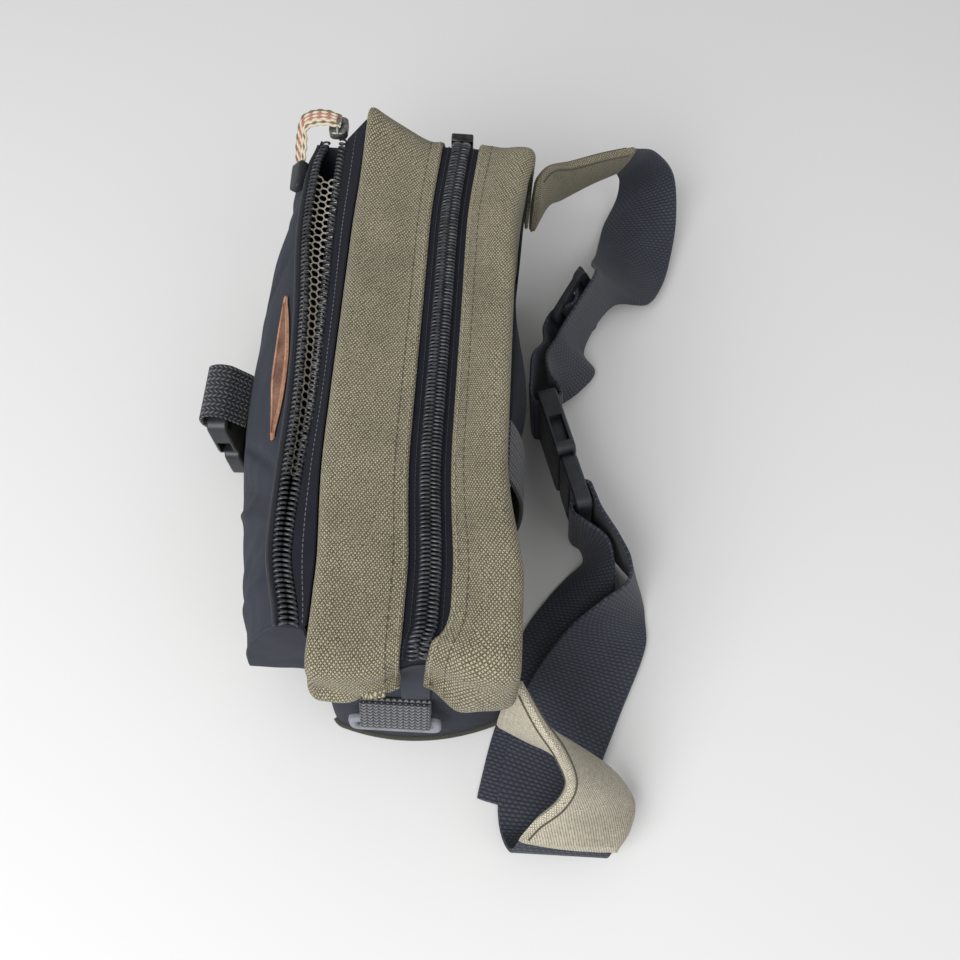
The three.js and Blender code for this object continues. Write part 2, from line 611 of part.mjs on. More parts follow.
// Leather-like label, a long pointed oval on the pocket's upper face
const LABEL = { x: -6.5, length: 65, v: 0.125, halfHeight: 0.078, tip: 0.015, lift: 0.4, thickness: 1.2 };
const labelGrid = steps(14).map((u) => {
  const reach = Math.max(LABEL.tip, LABEL.halfHeight * (1 - Math.abs(2 * u - 1) ** 1.9));
  const x = LABEL.x + (u - 0.5) * LABEL.length;
  return steps(2).map((t) => pocketFace(x, LABEL.v + reach * (2 * t - 1)));
});
const labelSides = { over: LABEL.lift + LABEL.thickness, under: -LABEL.lift, inside: POCKET_INSIDE };
addPiece('label', slab(labelGrid, labelSides), 'leather');

// Side release buckles: length along X, webbing width along Y, fastened
const MOULD = { slot: 3.4, bar: 3.2, wall: 1.6, corner: 4, bevel: 0.7, lip: 3.5 };

function buckleHalves({ webbing, length, thickness, femaleShare }) {
  const { slot, bar, wall, corner, bevel } = MOULD;
  const width = webbing + 2 * MOULD.lip;
  const end = length / 2;
  const bodyLength = length * femaleShare;
  const split = bodyLength - end;
  const hollow = thickness - 2 * wall;
  const slotHole = (x) => roundedOutline(THREE.Path, slot, webbing + 0.8, 1.2, x, 0);

  const body = roundedOutline(THREE.Shape, bodyLength, width, corner, split - bodyLength / 2, 0);
  body.holes.push(slotHole(bar + slot / 2 - end));
  const depth = bodyLength - 2 * bar - slot;
  const cavity = box(depth + 1, width - 6, hollow, split - depth / 2 + 0.5, 0, 0);
  const grip = (side) => box(depth * 0.55, 8, hollow, split - depth / 2, (side * width) / 2, 0);
  const female = toSolid(plate(body, thickness, bevel))
    .subtract(toSolid(cavity))
    .subtract(toSolid(grip(1)))
    .subtract(toSolid(grip(-1)));

  const start = split + SEAM_GAP;
  const base = roundedOutline(THREE.Shape, end - start, width - 1, corner, (start + end) / 2, 0);
  base.holes.push(slotHole(end - bar - slot / 2));
  base.holes.push(slotHole(end - 2.2 * bar - 1.6 * slot));
  const reach = depth - 3;
  const prong = (y, wide) => box(reach + 2, wide, hollow - 2 * SEAM_GAP, start - reach / 2 + 1, y, 0);
  const male = toSolid(plate(base, thickness * 0.8, bevel))
    .add(toSolid(prong(0, 3)))
    .add(toSolid(prong(width / 2 - 6.4, 4.4)))
    .add(toSolid(prong(6.4 - width / 2, 4.4)));
  return { female: fromSolid(female), male: fromSolid(male) };
}

// A turned place for a buckle, slider or ring, with rows of webbing laid out from its middle
function seat(centre, along, lean) {
  const x = along.clone().normalize();
  const y = lean.clone().addScaledVector(x, -lean.dot(x)).normalize();
  const z = x.clone().cross(y);
  const matrix = new THREE.Matrix4().makeBasis(x, y, z).setPosition(centre);
  return {
    put: (mesh) => matrix.decompose(mesh.position, mesh.quaternion, mesh.scale),
    row: (forward, off, width) => {
      const middle = centre.clone().addScaledVector(x, forward).addScaledVector(z, off);
      return {
        a: middle.clone().addScaledVector(y, width / 2).toArray(),
        b: middle.clone().addScaledVector(y, -width / 2).toArray(),
      };
    },
  };
}

// Belt buckle on its edge on the table, leaning towards the bag
const BUCKLE = { webbing: BELT_WIDTH, length: 60, thickness: 9, femaleShare: 0.56 };
const buckleSeat = seat(vec(-2.8, 58, 22.9), vec(63, 20, 0), vec(0, -0.12, 0.993));
const beltBuckle = buckleHalves(BUCKLE);
buckleSeat.put(addPiece('buckle_female', beltBuckle.female, 'blackPlastic'));
buckleSeat.put(addPiece('buckle_male', beltBuckle.male, 'blackPlastic'));
const buckleRows = (table) => table.map(([forward, off]) => buckleSeat.row(forward, off, BELT_WIDTH));

// Three-bar slider on the far half of the belt
const GLIDE = { length: 27, width: 47, thickness: 3, slot: 6.8, slotWidth: 40.5, slotAt: 5.7 };
const glideSeat = seat(vec(-85, 64, 27.2), vec(0.78, -0.48, -0.4), vec(0.235, -0.368, 0.9));
const glideOutline = roundedOutline(THREE.Shape, GLIDE.length, GLIDE.width, 4);
[-1, 1].forEach((side) => {
  const slot = roundedOutline(THREE.Path, GLIDE.slot, GLIDE.slotWidth, 1.2, side * GLIDE.slotAt, 0);
  glideOutline.holes.push(slot);
});
glideSeat.put(addPiece('belt_slider', plate(glideOutline, GLIDE.thickness), 'blackPlastic'));
const glideRows = (table) => table.map(([forward, off]) => glideSeat.row(forward, off, BELT_WIDTH));

// Far half of the belt: from the wing's tip over the slider, round the buckle's bar and back into the
// slider. Edge a is the lower one when worn.
const BELT_FAR = [
  { a: [-174.5, 83.1, 28.8], b: [-157.4, 86.7, 61.7] },
  { a: [-178, 87, 17], b: [-168, 99, 50] },
  { a: [-175, 87, 6], b: [-171, 112, 32] },
  { a: [-161, 81, 2], b: [-156, 116, 17] },
  { a: [-147, 78, 4], b: [-137, 114, 10] },
  { a: [-132, 75, 12], b: [-118, 109, 8] },
  { a: [-112, 70, 30], b: [-105, 101, 9] },
  ...glideRows([[-14, -5.3], [14, -5.3]]),
  { a: [-61, 52, 38.5], b: [-63.5, 74, 6.5] },
  { a: [-51, 47.5, 39.5], b: [-52, 66, 6] },
  ...buckleRows([[-37, -4.5], [-31, -6.4], [-26.4, -6.2], [-25.1, -3]]),
  ...buckleRows([[-25.1, 3], [-26.4, 6.2], [-31, 6.4], [-37, 4.5]]),
  { a: [-51, 41.5, 39.5], b: [-53, 55, 3.5] },
  { a: [-60.5, 46.5, 36.5], b: [-65.5, 64.5, 3.5] },
  ...glideRows([[18, 2.6], [9.6, 3.2], [5.6, 0], [1.6, -3.2]]),
  ...glideRows([[-1.6, -3.2], [-5.6, 0], [-9.6, 3.2], [-15, 3.2]]),
];
addPiece('belt_far', ribbon(BELT_FAR, { stepsPerRow: 2 }), 'blackWebbing');

// Near half of the belt, from the buckle's middle bar down flat and round into the near wing's tip
const BELT_NEAR = [
  ...buckleRows([[17.5, -0.2], [17.5, -3.2], [18.9, -5.3], [23, -5.8], [31, -6.4]]),
  { a: [37.2, 79.6, 39.5], b: [36, 86, 2.4] },
  { a: [47.5, 84.2, 39], b: [45, 93.2, 2.2] },
  { a: [55.5, 84, 36.5], b: [54, 95.8, 2] },
  { a: [63.3, 73.4, 28], b: [62, 96.5, 2] },
  { a: [72.3, 61, 14], b: [73, 96.5, 3.6] },
  { a: [95, 45.5, 4.4], b: [107, 83.5, 3.5] },
  { a: [124, 37, 3.1], b: [135.5, 73.2, 3.1] },
  { a: [142, 35, 3.1], b: [146, 73, 3.1] },
  { a: [154, 36.5, 3.1], b: [154, 74.5, 3.1] },
  { a: [161.5, 40, 11], b: [161.5, 78, 9] },
  { a: [155.6, 44.5, 22.6], b: [156.4, 81, 14.9] },
];
addPiece('belt_near', ribbon(BELT_NEAR, { stepsPerRow: 3 }), 'blackWebbing');

// Loose tail of the belt, from the buckle's end bar, lying under the near half with its edge a outwards
const BELT_TAIL = [
  ...buckleRows([[25.1, 0.2], [25.1, 3.2], [26.6, 5.3], [30.5, 5.2], [34.5, 2.5]]),
  { a: [37.5, 75, 37], b: [35.5, 70, 1.8] },
  { a: [46, 79, 29], b: [44, 62.5, 1.6] },
  { a: [57, 80.5, 16], b: [54, 54, 1.4] },
  { a: [71, 79.5, 5], b: [66.5, 45.5, 1.2] },
  { a: [83, 78, 1.5], b: [76.5, 41.5, 1.1] },
  { a: [104, 74.5, 1.1], b: [96, 37.4, 1.1] },
  { a: [128, 68, 1.1], b: [119, 31, 1.1] },
  { a: [149.5, 63.5, 1.1], b: [141, 26.5, 1.1] },
];
addPiece('belt_tail', ribbon(BELT_TAIL, { stepsPerRow: 2 }), 'blackWebbing');

// Padded hip wings: edge a on top, edge b below, from the bag's end to the belt
const WING_EDGE = 3;
const WING_FAR = [
  { a: [-111, 37.9, 86], b: [-110, 37.9, 55] },
  { a: [-122, 43.5, 83], b: [-124, 43.5, 55] },
  { a: [-135, 55, 73], b: [-145, 53, 39] },
  { a: [-147, 70.5, 67], b: [-161, 68.5, 34] },
  { a: [-157, 86, 62], b: [-174, 82.5, 29] },
];
const WING_NEAR = [
  { a: [108, 37.8, 64], b: [117.5, 32.5, 34] },
  { a: [121, 46, 60], b: [121, 46, 26] },
  { a: [131, 54, 55], b: [123.5, 64, 19] },
  { a: [140, 58.5, 47], b: [131, 81, 11] },
  { a: [146.5, 55.5, 38], b: [141, 88.5, 10] },
  { a: [152.5, 48, 30.5], b: [152.5, 85, 17] },
  { a: [158.5, 43, 25], b: [160, 79.5, 20.5] },
];

function wing(name, rows, pad) {
  const grid = ribbonGrid(rows, 3, 4);
  const swell = (i, j) => {
    const lengthwise = Math.sin(Math.PI * (0.06 + (0.86 * i) / (grid.length - 1))) ** 0.5;
    return lerp(WING_EDGE, pad, lengthwise * Math.sin((Math.PI * j) / 4) ** 0.6) / 2;
  };
  addPiece(name, slab(grid, { over: swell, under: swell }), 'khaki');
}
wing('wing_far', WING_FAR, WING_PAD.far);
wing('wing_near', WING_NEAR, WING_PAD.near);

// Accessory rings at both ends, each hanging on a folded tab of webbing
const RING = { length: 15.2, width: 35, bar: 3.2, bevel: 0.8, x: 120.7, y: -7.5, z: 50 };
const TAB = { hole: 2.25, wall: 1.4, y: -7, topX: 115.9, topZ: 64, topThickness: 2.9 };
const ringDrop = vec(0.04, 0, -0.999);

function ringAndTab(end, sign) {
  const outline = roundedOutline(THREE.Shape, RING.length, RING.width, 4);
  outline.holes.push(roundedOutline(THREE.Path, RING.length - 2 * RING.bar, RING.width - 2 * RING.bar, 2));
  const along = vec(sign * ringDrop.x, 0, ringDrop.z);
  const bar = vec(sign * RING.x, RING.y, RING.z);
  const centre = bar.clone().addScaledVector(along, (RING.length - RING.bar) / 2);
  const ring = addPiece(`ring_${end}`, plate(outline, RING.bar, RING.bevel), 'greyPlastic');
  seat(centre, along, vec(0, 1, 0)).put(ring);

  const radius = TAB.hole + TAB.wall;
  const fold = new THREE.Shape();
  fold.moveTo(TAB.topX, TAB.topZ);
  fold.lineTo(RING.x - radius, RING.z);
  fold.absarc(RING.x, RING.z, radius, Math.PI, 2 * Math.PI);
  fold.lineTo(TAB.topX + TAB.topThickness, TAB.topZ);
  fold.holes.push(new THREE.Path().absarc(RING.x, RING.z, TAB.hole, 0, 2 * Math.PI));
  const tab = new THREE.ExtrudeGeometry(fold, { depth: TAB_WIDTH, bevelEnabled: false, curveSegments: 6 });
  tab.rotateX(Math.PI / 2).translate(0, sign * TAB.y + TAB_WIDTH / 2, 0);
  if (sign < 0) tab.rotateZ(Math.PI);
  addPiece(`ring_tab_${end}`, tab, 'greyWebbing');
}
ringAndTab('near', 1);
ringAndTab('far', -1);

// Front strap from the pocket's seam, over and down to a small fastened buckle and back under the pocket
const FRONT_BUCKLE = { webbing: TAB_WIDTH, length: 42, thickness: 9, femaleShare: 0.56 };
const FRONT_STRAP = { nearX: -3.2, farX: -28.2 };
const frontSeat = seat(vec(-13.5, -93, 24.5), vec(0.08, 0.1, -0.99), vec(1, 0, 0));
const frontBuckle = buckleHalves(FRONT_BUCKLE);
frontSeat.put(addPiece('front_buckle_female', frontBuckle.female, 'blackPlastic'));
frontSeat.put(addPiece('front_buckle_male', frontBuckle.male, 'blackPlastic'));
const frontRows = (table) => table.map(([forward, off]) => frontSeat.row(forward, off, TAB_WIDTH));
const STRAP_ARCH = [
  { y: -83.8, z: 42 },
  { y: -88.2, z: 46 },
  { y: -92.5, z: 49.4 },
  { y: -97.5, z: 50 },
  { y: -101.2, z: 48 },
];
addPiece('front_strap', ribbon([
  ...STRAP_ARCH.map(({ y, z }) => ({ a: [FRONT_STRAP.nearX, y, z], b: [FRONT_STRAP.farX, y, z] })),
  ...frontRows([[-20, 6.7], [-17.2, 5.9], [-16.1, 3], [-16.1, -0.5]]),
], { stepsPerRow: 3 }), 'greyWebbing');
addPiece('front_strap_lower', ribbon([
  ...frontRows([[16.1, 0.2], [16.1, -3], [17.8, -5.2]]),
  { a: [0.5, -82, 5], b: [-24.5, -81.8, 4.6] },
  { a: [0.5, -77.8, 3.3], b: [-24.5, -78.2, 3.3] },
], { stepsPerRow: 3 }), 'greyWebbing');

// Back pad, thicker towards the middle, and the webbing loop beside it
const PAD = { farX: -56, nearX: 11, lowZ: 16, highZ: 84, edge: 2, rise: 6.5, columns: 8, rows: 6 };
const padGrid = steps(PAD.columns).map((u) => steps(PAD.rows).map((v) => {
  const [x, z] = [lerp(PAD.farX, PAD.nearX, u), lerp(PAD.lowZ, PAD.highZ, v)];
  return vec(x, panelY(x, z, BACK_BULGE) - bowAt(x) + SEAM_GAP, z);
}));
const padThickness = (i, j) => {
  const lengthwise = Math.sin(Math.PI * THREE.MathUtils.clamp((i / PAD.columns - 0.15) / 0.92, 0, 1));
  return PAD.edge + PAD.rise * lengthwise * Math.sin((Math.PI * j) / PAD.rows) ** 0.7;
};
addPiece('back_pad', slab(padGrid, { over: padThickness, under: 0, inside: BODY_CENTRE }), 'blackNylon');

const LOOP = { farX: 12.6, nearX: 37 };
const LOOP_ARCH = [
  { z: 90, off: 1.4 },
  { z: 80, off: 4.5 },
  { z: 64, off: 7.5 },
  { z: 40, off: 7.5 },
  { z: 24, off: 4.5 },
  { z: 13, off: 1.4 },
];
const loopX = (LOOP.farX + LOOP.nearX) / 2;
const loopRows = LOOP_ARCH.map(({ z, off }) => {
  const y = panelY(loopX, z, BACK_BULGE) - bowAt(loopX) + off;
  return { a: [LOOP.farX, y, z], b: [LOOP.nearX, y, z] };
});
addPiece('back_loop', ribbon(loopRows, { stepsPerRow: 3 }), 'greyWebbing');

export default bag;
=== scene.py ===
import math

import bmesh
import bpy
import numpy as np
from mathutils import Matrix, Vector


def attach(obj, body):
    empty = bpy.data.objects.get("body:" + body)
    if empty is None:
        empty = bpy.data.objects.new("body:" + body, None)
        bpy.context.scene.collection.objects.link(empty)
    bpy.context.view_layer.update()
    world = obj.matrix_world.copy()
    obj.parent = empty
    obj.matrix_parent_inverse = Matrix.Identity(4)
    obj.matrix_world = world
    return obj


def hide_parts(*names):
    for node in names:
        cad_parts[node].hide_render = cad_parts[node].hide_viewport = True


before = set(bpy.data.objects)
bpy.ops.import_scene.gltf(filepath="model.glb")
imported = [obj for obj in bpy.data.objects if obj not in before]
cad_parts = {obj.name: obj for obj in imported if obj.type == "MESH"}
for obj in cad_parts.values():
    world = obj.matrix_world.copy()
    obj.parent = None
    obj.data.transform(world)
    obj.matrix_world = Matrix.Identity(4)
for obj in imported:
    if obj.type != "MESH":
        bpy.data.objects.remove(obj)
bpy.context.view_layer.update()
mm = 0.001
print("frame loaded with", len(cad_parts), "solids")


def addObject(name, data):
    made = bpy.data.objects.new(name, data)
    bpy.context.scene.collection.objects.link(made)
    return made


# The photograph's view, in mm and degrees
shot = dict(place=(192.6, 14.3, 414.2), yaw=1.77, pitch=64.62, roll=4.96, lens=36.075, sensor=36,
            nearest=10)


def makeCamera():
    yaw, pitch, roll = (math.radians(shot[key]) for key in ("yaw", "pitch", "roll"))
    ahead = Vector((-math.cos(pitch) * math.cos(yaw), math.cos(pitch) * math.sin(yaw), -math.sin(pitch)))
    level = Vector((math.sin(yaw), math.cos(yaw), 0))
    above = level.cross(ahead)
    right = math.cos(roll) * level + math.sin(roll) * above
    up = math.cos(roll) * above - math.sin(roll) * level
    lens = bpy.data.cameras.new("camera")
    lens.lens = shot["lens"]
    lens.sensor_width = shot["sensor"]
    lens.clip_start = shot["nearest"] * mm
    camera = addObject("camera", lens)
    turn = Matrix((right, up, -ahead)).transposed().to_4x4()
    camera.matrix_world = Matrix.Translation(Vector(shot["place"]) * mm) @ turn
    bpy.context.scene.camera = camera


makeCamera()

# Small maths, in mm


def smooth(x, low, high):
    t = np.clip((np.asarray(x, float) - low) / (high - low), 0, 1)
    return t * t * (3 - 2 * t)


def awayFromEnds(t, width):  # 0 at both ends of a run from 0 to 1, and 1 between them
    return smooth(t, 0, width) * smooth(1 - t, 0, width)


def hill(x, middle, width):
    return np.exp(-(((np.asarray(x, float) - middle) / width) ** 2))


def mix(a, b, t):
    return a * (1 - t) + b * t


def bezier(t, *controls):  # curve of any degree
    level = controls
    while len(level) > 1:
        level = [mix(a, b, t) for a, b in zip(level, level[1:])]
    return level[0]


def unit(v):
    return v / np.maximum(np.linalg.norm(v, axis=-1, keepdims=True), 1e-9)


def xyz(x, y, z):
    return np.stack(np.broadcast_arrays(x, y, z), -1)


def lookup(rows, key, x):  # one column of a table, read smoothly; x falls from row to row
    last = len(rows) - 1
    k = 0
    while k < last - 1 and x < rows[k + 1]["x"]:
        k += 1
    p, q = rows[k], rows[k + 1]
    t = min(max((x - p["x"]) / (q["x"] - p["x"]), 0), 1)
    before, after = rows[max(k - 1, 0)][key], rows[min(k + 2, last)][key]
    m0, m1 = (q[key] - before) / 2, (after - p[key]) / 2
    ease = 3 * t ** 2 - 2 * t ** 3
    return (1 - ease) * p[key] + (t ** 3 - 2 * t ** 2 + t) * m0 + ease * q[key] + (t ** 3 - t ** 2) * m1


def table(columns, *rows):
    return [dict(zip(columns.split(), row)) for row in rows]


def wobble(x, y, seed, size, waves=7):  # slow unevenness of sewn cloth, between about -1 and 1
    draw = np.random.default_rng(seed)
    total = 0
    for k in range(waves):
        angle, phase = draw.uniform(0, 2 * math.pi, 2)
        step = 2 * math.pi / (size * (0.5 + 0.2 * k))
        total = total + np.sin((x * math.cos(angle) + y * math.sin(angle)) * step + phase)
    return total / (waves / 2)


def lineLength(line):
    return np.concatenate([[0], np.cumsum(np.linalg.norm(np.diff(line, axis=0), axis=1))])


def readAlong(places, lengths, values):
    return np.stack([np.interp(places, lengths, column) for column in values.T], -1)


# Meshes from grids of points
sheetRim = dict(out=0.4, cloth=0.6)


def gridNormals(grid):
    return unit(np.cross(np.gradient(grid, axis=0), np.gradient(grid, axis=1)))


def outwardNormals(grid, inside):
    normals = gridNormals(grid)
    n, m = grid.shape[0] // 2, grid.shape[1] // 2
    inward = np.dot(normals[n, m], np.asarray(inside, float) - grid[n, m]) > 0
    return -normals if inward else normals


def clothLengths(grid):  # cloth coordinates in metres, along and across
    lengths = []
    for axis in (0, 1):
        steps = np.linalg.norm(np.diff(grid, axis=axis), axis=-1).mean(1 - axis)
        lengths.append(np.concatenate([[0], np.cumsum(steps)]) * mm)
    return np.stack(np.meshgrid(*lengths, indexing="ij"), -1)


def signedVolume(points, faces):
    total = 0
    for face in faces:
        a, rest = points[face[0]], points[face[1:]]
        total += np.sum(np.cross(rest[:-1], rest[1:]) @ a)
    return total


def finishMesh(mesh, kinds, sharp):
    for kind in kinds:
        mesh.materials.append(finishes[kind])
    mesh.shade_smooth()
    mesh.set_sharp_from_angle(angle=math.radians(sharp))


def addMesh(name, points, faces, kinds, uvs=None, faceKinds=None, sharp=65):
    mesh = bpy.data.meshes.new(name)
    if signedVolume(points, faces) < 0:
        faces = [face[::-1] for face in faces]
    mesh.from_pydata((points * mm).tolist(), [], faces)
    if uvs is not None:
        layer = mesh.uv_layers.new(name="cloth")
        corners = np.zeros(len(mesh.loops), np.int32)
        mesh.loops.foreach_get("vertex_index", corners)
        layer.data.foreach_set("uv", np.asarray(uvs, np.float32)[corners].ravel())
    finishMesh(mesh, kinds, sharp)
    if faceKinds is not None:
        mesh.polygons.foreach_set("material_index", np.asarray(faceKinds, np.int32))
    return addObject(name, mesh)


def slab(grid, over, under, inside=None):  # closed sheet around a grid, with a rounded rim
    n, m = grid.shape[:2]
    normals = gridNormals(grid) if inside is None else outwardNormals(grid, inside)
    over, under = (np.broadcast_to(size, (n, m))[..., None] for size in (over, under))
    index = np.arange(n * m).reshape(n, m)
    rim = np.concatenate([index[0, :-1], index[:-1, -1], index[-1, :0:-1], index[:0:-1, 0]])
    rows, columns = rim // m, rim % m
    outward = unit(grid[rows, columns] - grid[np.clip(rows, 1, n - 2), np.clip(columns, 1, m - 2)])
    middle = (grid + normals * (over - under) / 2)[rows, columns]
    middle = middle + outward * (over + under)[rows, columns] * sheetRim["out"]
    upperSide, lowerSide = (side.reshape(-1, 3) for side in (grid + normals * over, grid - normals * under))
    points = np.vstack([upperSide, lowerSide, middle])
    a, b, c, d = index[:-1, :-1], index[1:, :-1], index[1:, 1:], index[:-1, 1:]
    top = np.stack([a, b, c, d], -1).reshape(-1, 4)
    bottom = top[:, ::-1] + n * m
    k = np.arange(len(rim))
    after = np.roll(k, -1)
    upper = np.stack([rim, rim[after], 2 * n * m + after, 2 * n * m + k], -1)
    lower = np.stack([2 * n * m + k, 2 * n * m + after, rim[after] + n * m, rim + n * m], -1)
    faces = np.vstack([top, bottom, upper[:, ::-1], lower[:, ::-1]]).tolist()
    uvs = clothLengths(grid).reshape(-1, 2)
    out = np.stack([(rows == n - 1) * 1.0 - (rows == 0), (columns == m - 1) * 1.0 - (columns == 0)], -1)
    edge = uvs[rim] + out * (over + under)[rows, columns] * sheetRim["cloth"] * mm
    return points, faces, np.vstack([uvs, uvs, edge])


def curveAt(points, t, tiny=0.01):  # the smooth curve through points that the solids' straps follow
    points = np.asarray(points, float)
    p = np.vstack([2 * points[:1] - points[1:2], points, 2 * points[-1:] - points[-2:-1]])
    k = np.minimum((t * (len(points) - 1)).astype(int), len(points) - 2)
    w = (t * (len(points) - 1) - k)[:, None]
    p0, p1, p2, p3 = (p[k + step] for step in range(4))
    pairs = ((p0, p1), (p1, p2), (p2, p3))
    d0, d1, d2 = (np.sqrt(np.linalg.norm(b - a, axis=1, keepdims=True)) for a, b in pairs)
    d1 = np.where(d1 < tiny, 1.0, d1)
    d0, d2 = np.where(d0 < tiny, d1, d0), np.where(d2 < tiny, d1, d2)
    t1 = ((p1 - p0) / d0 - (p2 - p0) / (d0 + d1) + (p2 - p1) / d1) * d1
    t2 = ((p2 - p1) / d1 - (p3 - p1) / (d1 + d2) + (p3 - p2) / d2) * d1
    return p1 + t1 * w + (-3 * p1 + 3 * p2 - 2 * t1 - t2) * w ** 2 + (2 * p1 - 2 * p2 + t1 + t2) * w ** 3


def ribbonGrid(rows, stepsPerRow, across):
    t = np.linspace(0, 1, (len(rows) - 1) * stepsPerRow + 1)
    a, b = (curveAt([row[k] for row in rows], t)[:, None] for k in (0, 1))
    return mix(a, b, np.linspace(0, 1, across + 1)[None, :, None])


def tubes(paths, radius, sides, steep=0.9):  # rods along many short paths, as one mesh
    points, faces = [], []
    start = 0
    turn = np.linspace(0, 2 * math.pi, sides, endpoint=False)[None, :, None]
    for path in paths:
        path = np.asarray(path, float)
        ahead = unit(np.gradient(path, axis=0))
        side = unit(np.cross(ahead, [0, 0, 1] if abs(ahead[0, 2]) < steep else [1, 0, 0]))
        for k in range(1, len(path)):
            side[k] = unit(side[k - 1] - np.dot(side[k - 1], ahead[k]) * ahead[k])
        other = np.cross(ahead, side)
        circle = np.cos(turn) * side[:, None] + np.sin(turn) * other[:, None]
        points.append((path[:, None] + radius * circle).reshape(-1, 3))
        index = start + np.arange(len(path) * sides).reshape(len(path), sides)
        turned = np.roll(index, -1, 1)
        faces += np.stack([index[:-1], turned[:-1], turned[1:], index[1:]], -1).reshape(-1, 4).tolist()
        faces += [index[0, ::-1].tolist(), index[-1].tolist()]
        start += len(path) * sides
    return np.vstack(points), faces


def stitchPaths(line, normals, stitch=2.4, gap=0.9, lift=0.22):  # short arched threads along a line
    lengths = lineLength(line)
    bends, arch = np.array([0, 0.2, 0.8, 1]), np.array([-1.5, 1, 1, -1.5])
    paths = []
    for start in np.arange(0.5, lengths[-1] - stitch, stitch + gap):
        places = start + stitch * bends
        up = unit(readAlong(places, lengths, normals))
        paths.append(readAlong(places, lengths, line) + up * (lift * arch)[:, None])
    return paths


def place(piece, slotName, *nodes, body="root"):
    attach(piece, body)
    if nodes:
        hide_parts(*nodes)
    return piece


def sheet(name, grid, kind, slotName, over=0.0, under=1.6, inside=None, alone=False):  # replaces its node
    points, faces, uvs = slab(grid, over, under, inside)
    return place(addMesh(name, points, faces, [kind], uvs), slotName, *([] if alone else [name]))


def rods(name, paths, radius, kind, slotName, *nodes, sides=5):
    points, faces = tubes(paths, radius, sides)
    return place(addMesh(name, points, faces, [kind], sharp=60), slotName, *nodes)


# Finishes


def newFinish(name, roughness, specular, metallic=0.0, sheen=0.0):
    finish = bpy.data.materials.new(name)
    finish.use_nodes = True
    shader = finish.node_tree.nodes["Principled BSDF"]
    values = {"Roughness": roughness, "Specular IOR Level": specular, "Metallic": metallic,
              "Sheen Weight": sheen, "Sheen Roughness": 0.5}
    for socket, value in values.items():
        shader.inputs[socket].default_value = value
    return finish, finish.node_tree, shader


def addNode(tree, kind, **values):
    made = tree.nodes.new("ShaderNode" + kind)
    for socket, value in values.items():
        made.inputs[socket].default_value = value
    return made


def calc(tree, operation, *values):
    made = addNode(tree, "Math")
    made.operation = operation
    for socket, value in zip(made.inputs, values):
        if isinstance(value, (int, float)):
            socket.default_value = value
        else:
            tree.links.new(value, socket)
    return made.outputs[0]


def scaled(tree, value, by, plus):
    return calc(tree, "MULTIPLY_ADD", value, by, plus)


def clothCoords(tree):
    where, parts = addNode(tree, "UVMap"), addNode(tree, "SeparateXYZ")
    where.uv_map = "cloth"
    tree.links.new(where.outputs[0], parts.inputs[0])
    return parts.outputs[0], parts.outputs[1]


def inPlace(tree, made):  # a pattern that stays with its piece
    tree.links.new(addNode(tree, "TexCoord").outputs["Object"], made.inputs["Vector"])
    return made.outputs


def noise(tree, scale, detail=3.0, rough=0.55):
    return inPlace(tree, addNode(tree, "TexNoise", Scale=scale, Detail=detail, Roughness=rough))["Fac"]


def jitter(tree, scale, size):  # noise spread evenly about zero
    return scaled(tree, noise(tree, scale, detail=2), size, -size / 2)


def wave(tree, x, period):
    return calc(tree, "SINE", calc(tree, "MULTIPLY", x, 2 * math.pi / period))


def ramp(tree, factor, *stops):
    made = addNode(tree, "ValToRGB")
    for k, (at, colour) in enumerate(stops):
        stop = made.color_ramp.elements[k] if k < 2 else made.color_ramp.elements.new(at)
        stop.position = at
        stop.color = (*colour, 1)
    tree.links.new(factor, made.inputs[0])
    return made.outputs[0]


def tint(tree, colour, factor, low, high):  # makes a colour lighter and darker by a factor from 0 to 1
    made = addNode(tree, "VectorMath")
    made.operation = "SCALE"
    tree.links.new(colour, made.inputs[0])
    tree.links.new(scaled(tree, factor, high - low, low), made.inputs["Scale"])
    return made.outputs[0]


def paint(tree, shader, colour, height, depth, strength=1.0):  # colour and relief, the relief's depth in mm
    tree.links.new(colour, shader.inputs["Base Color"])
    made = addNode(tree, "Bump", Strength=strength, Distance=depth * mm)
    tree.links.new(height, made.inputs["Height"])
    tree.links.new(made.outputs[0], shader.inputs["Normal"])


def paintCloth(tree, shader, height, depth, dark, light, patches, low=0.75, high=1.3, darkAt=0.1):
    # the colour follows the relief: painted shade in the grooves between threads and painted light on their
    # raised tops
    colour = ramp(tree, height, (darkAt, dark), (0.95, light))
    paint(tree, shader, tint(tree, colour, noise(tree, patches, detail=4), low, high), height, depth)


def canvasFinish(name, dark, mid, light, pitch, depth):  # plain weave of thick threads
    finish, tree, shader = newFinish(name, roughness=0.93, specular=0.12, sheen=0.12)
    shift = jitter(tree, 260, 0.0014)
    su, sv = (wave(tree, calc(tree, "ADD", part, shift), 2 * size * mm)
              for part, size in zip(clothCoords(tree), pitch))
    over = calc(tree, "MULTIPLY", su, sv)  # lengthwise threads on top where positive
    openU, openV = (calc(tree, "SUBTRACT", 1, calc(tree, "ABSOLUTE", part)) for part in (su, sv))
    gap = calc(tree, "POWER", calc(tree, "MULTIPLY", openU, openV), 0.6)
    # darker where the threads part, painted shade in the hollows of the weave, and lighter where lengthwise
    # threads lie on top
    shade = scaled(tree, over, 0.4, scaled(tree, gap, -0.75, 0.74))
    shade = calc(tree, "ADD", shade, jitter(tree, 900, 0.7))
    colour = ramp(tree, shade, (0.05, dark), (0.9, light), (0.5, mid))
    colour = tint(tree, colour, noise(tree, 45, detail=5, rough=0.62), low=0.7, high=1.28)
    paint(tree, shader, colour, calc(tree, "SUBTRACT", 1, gap), depth)
    return finish


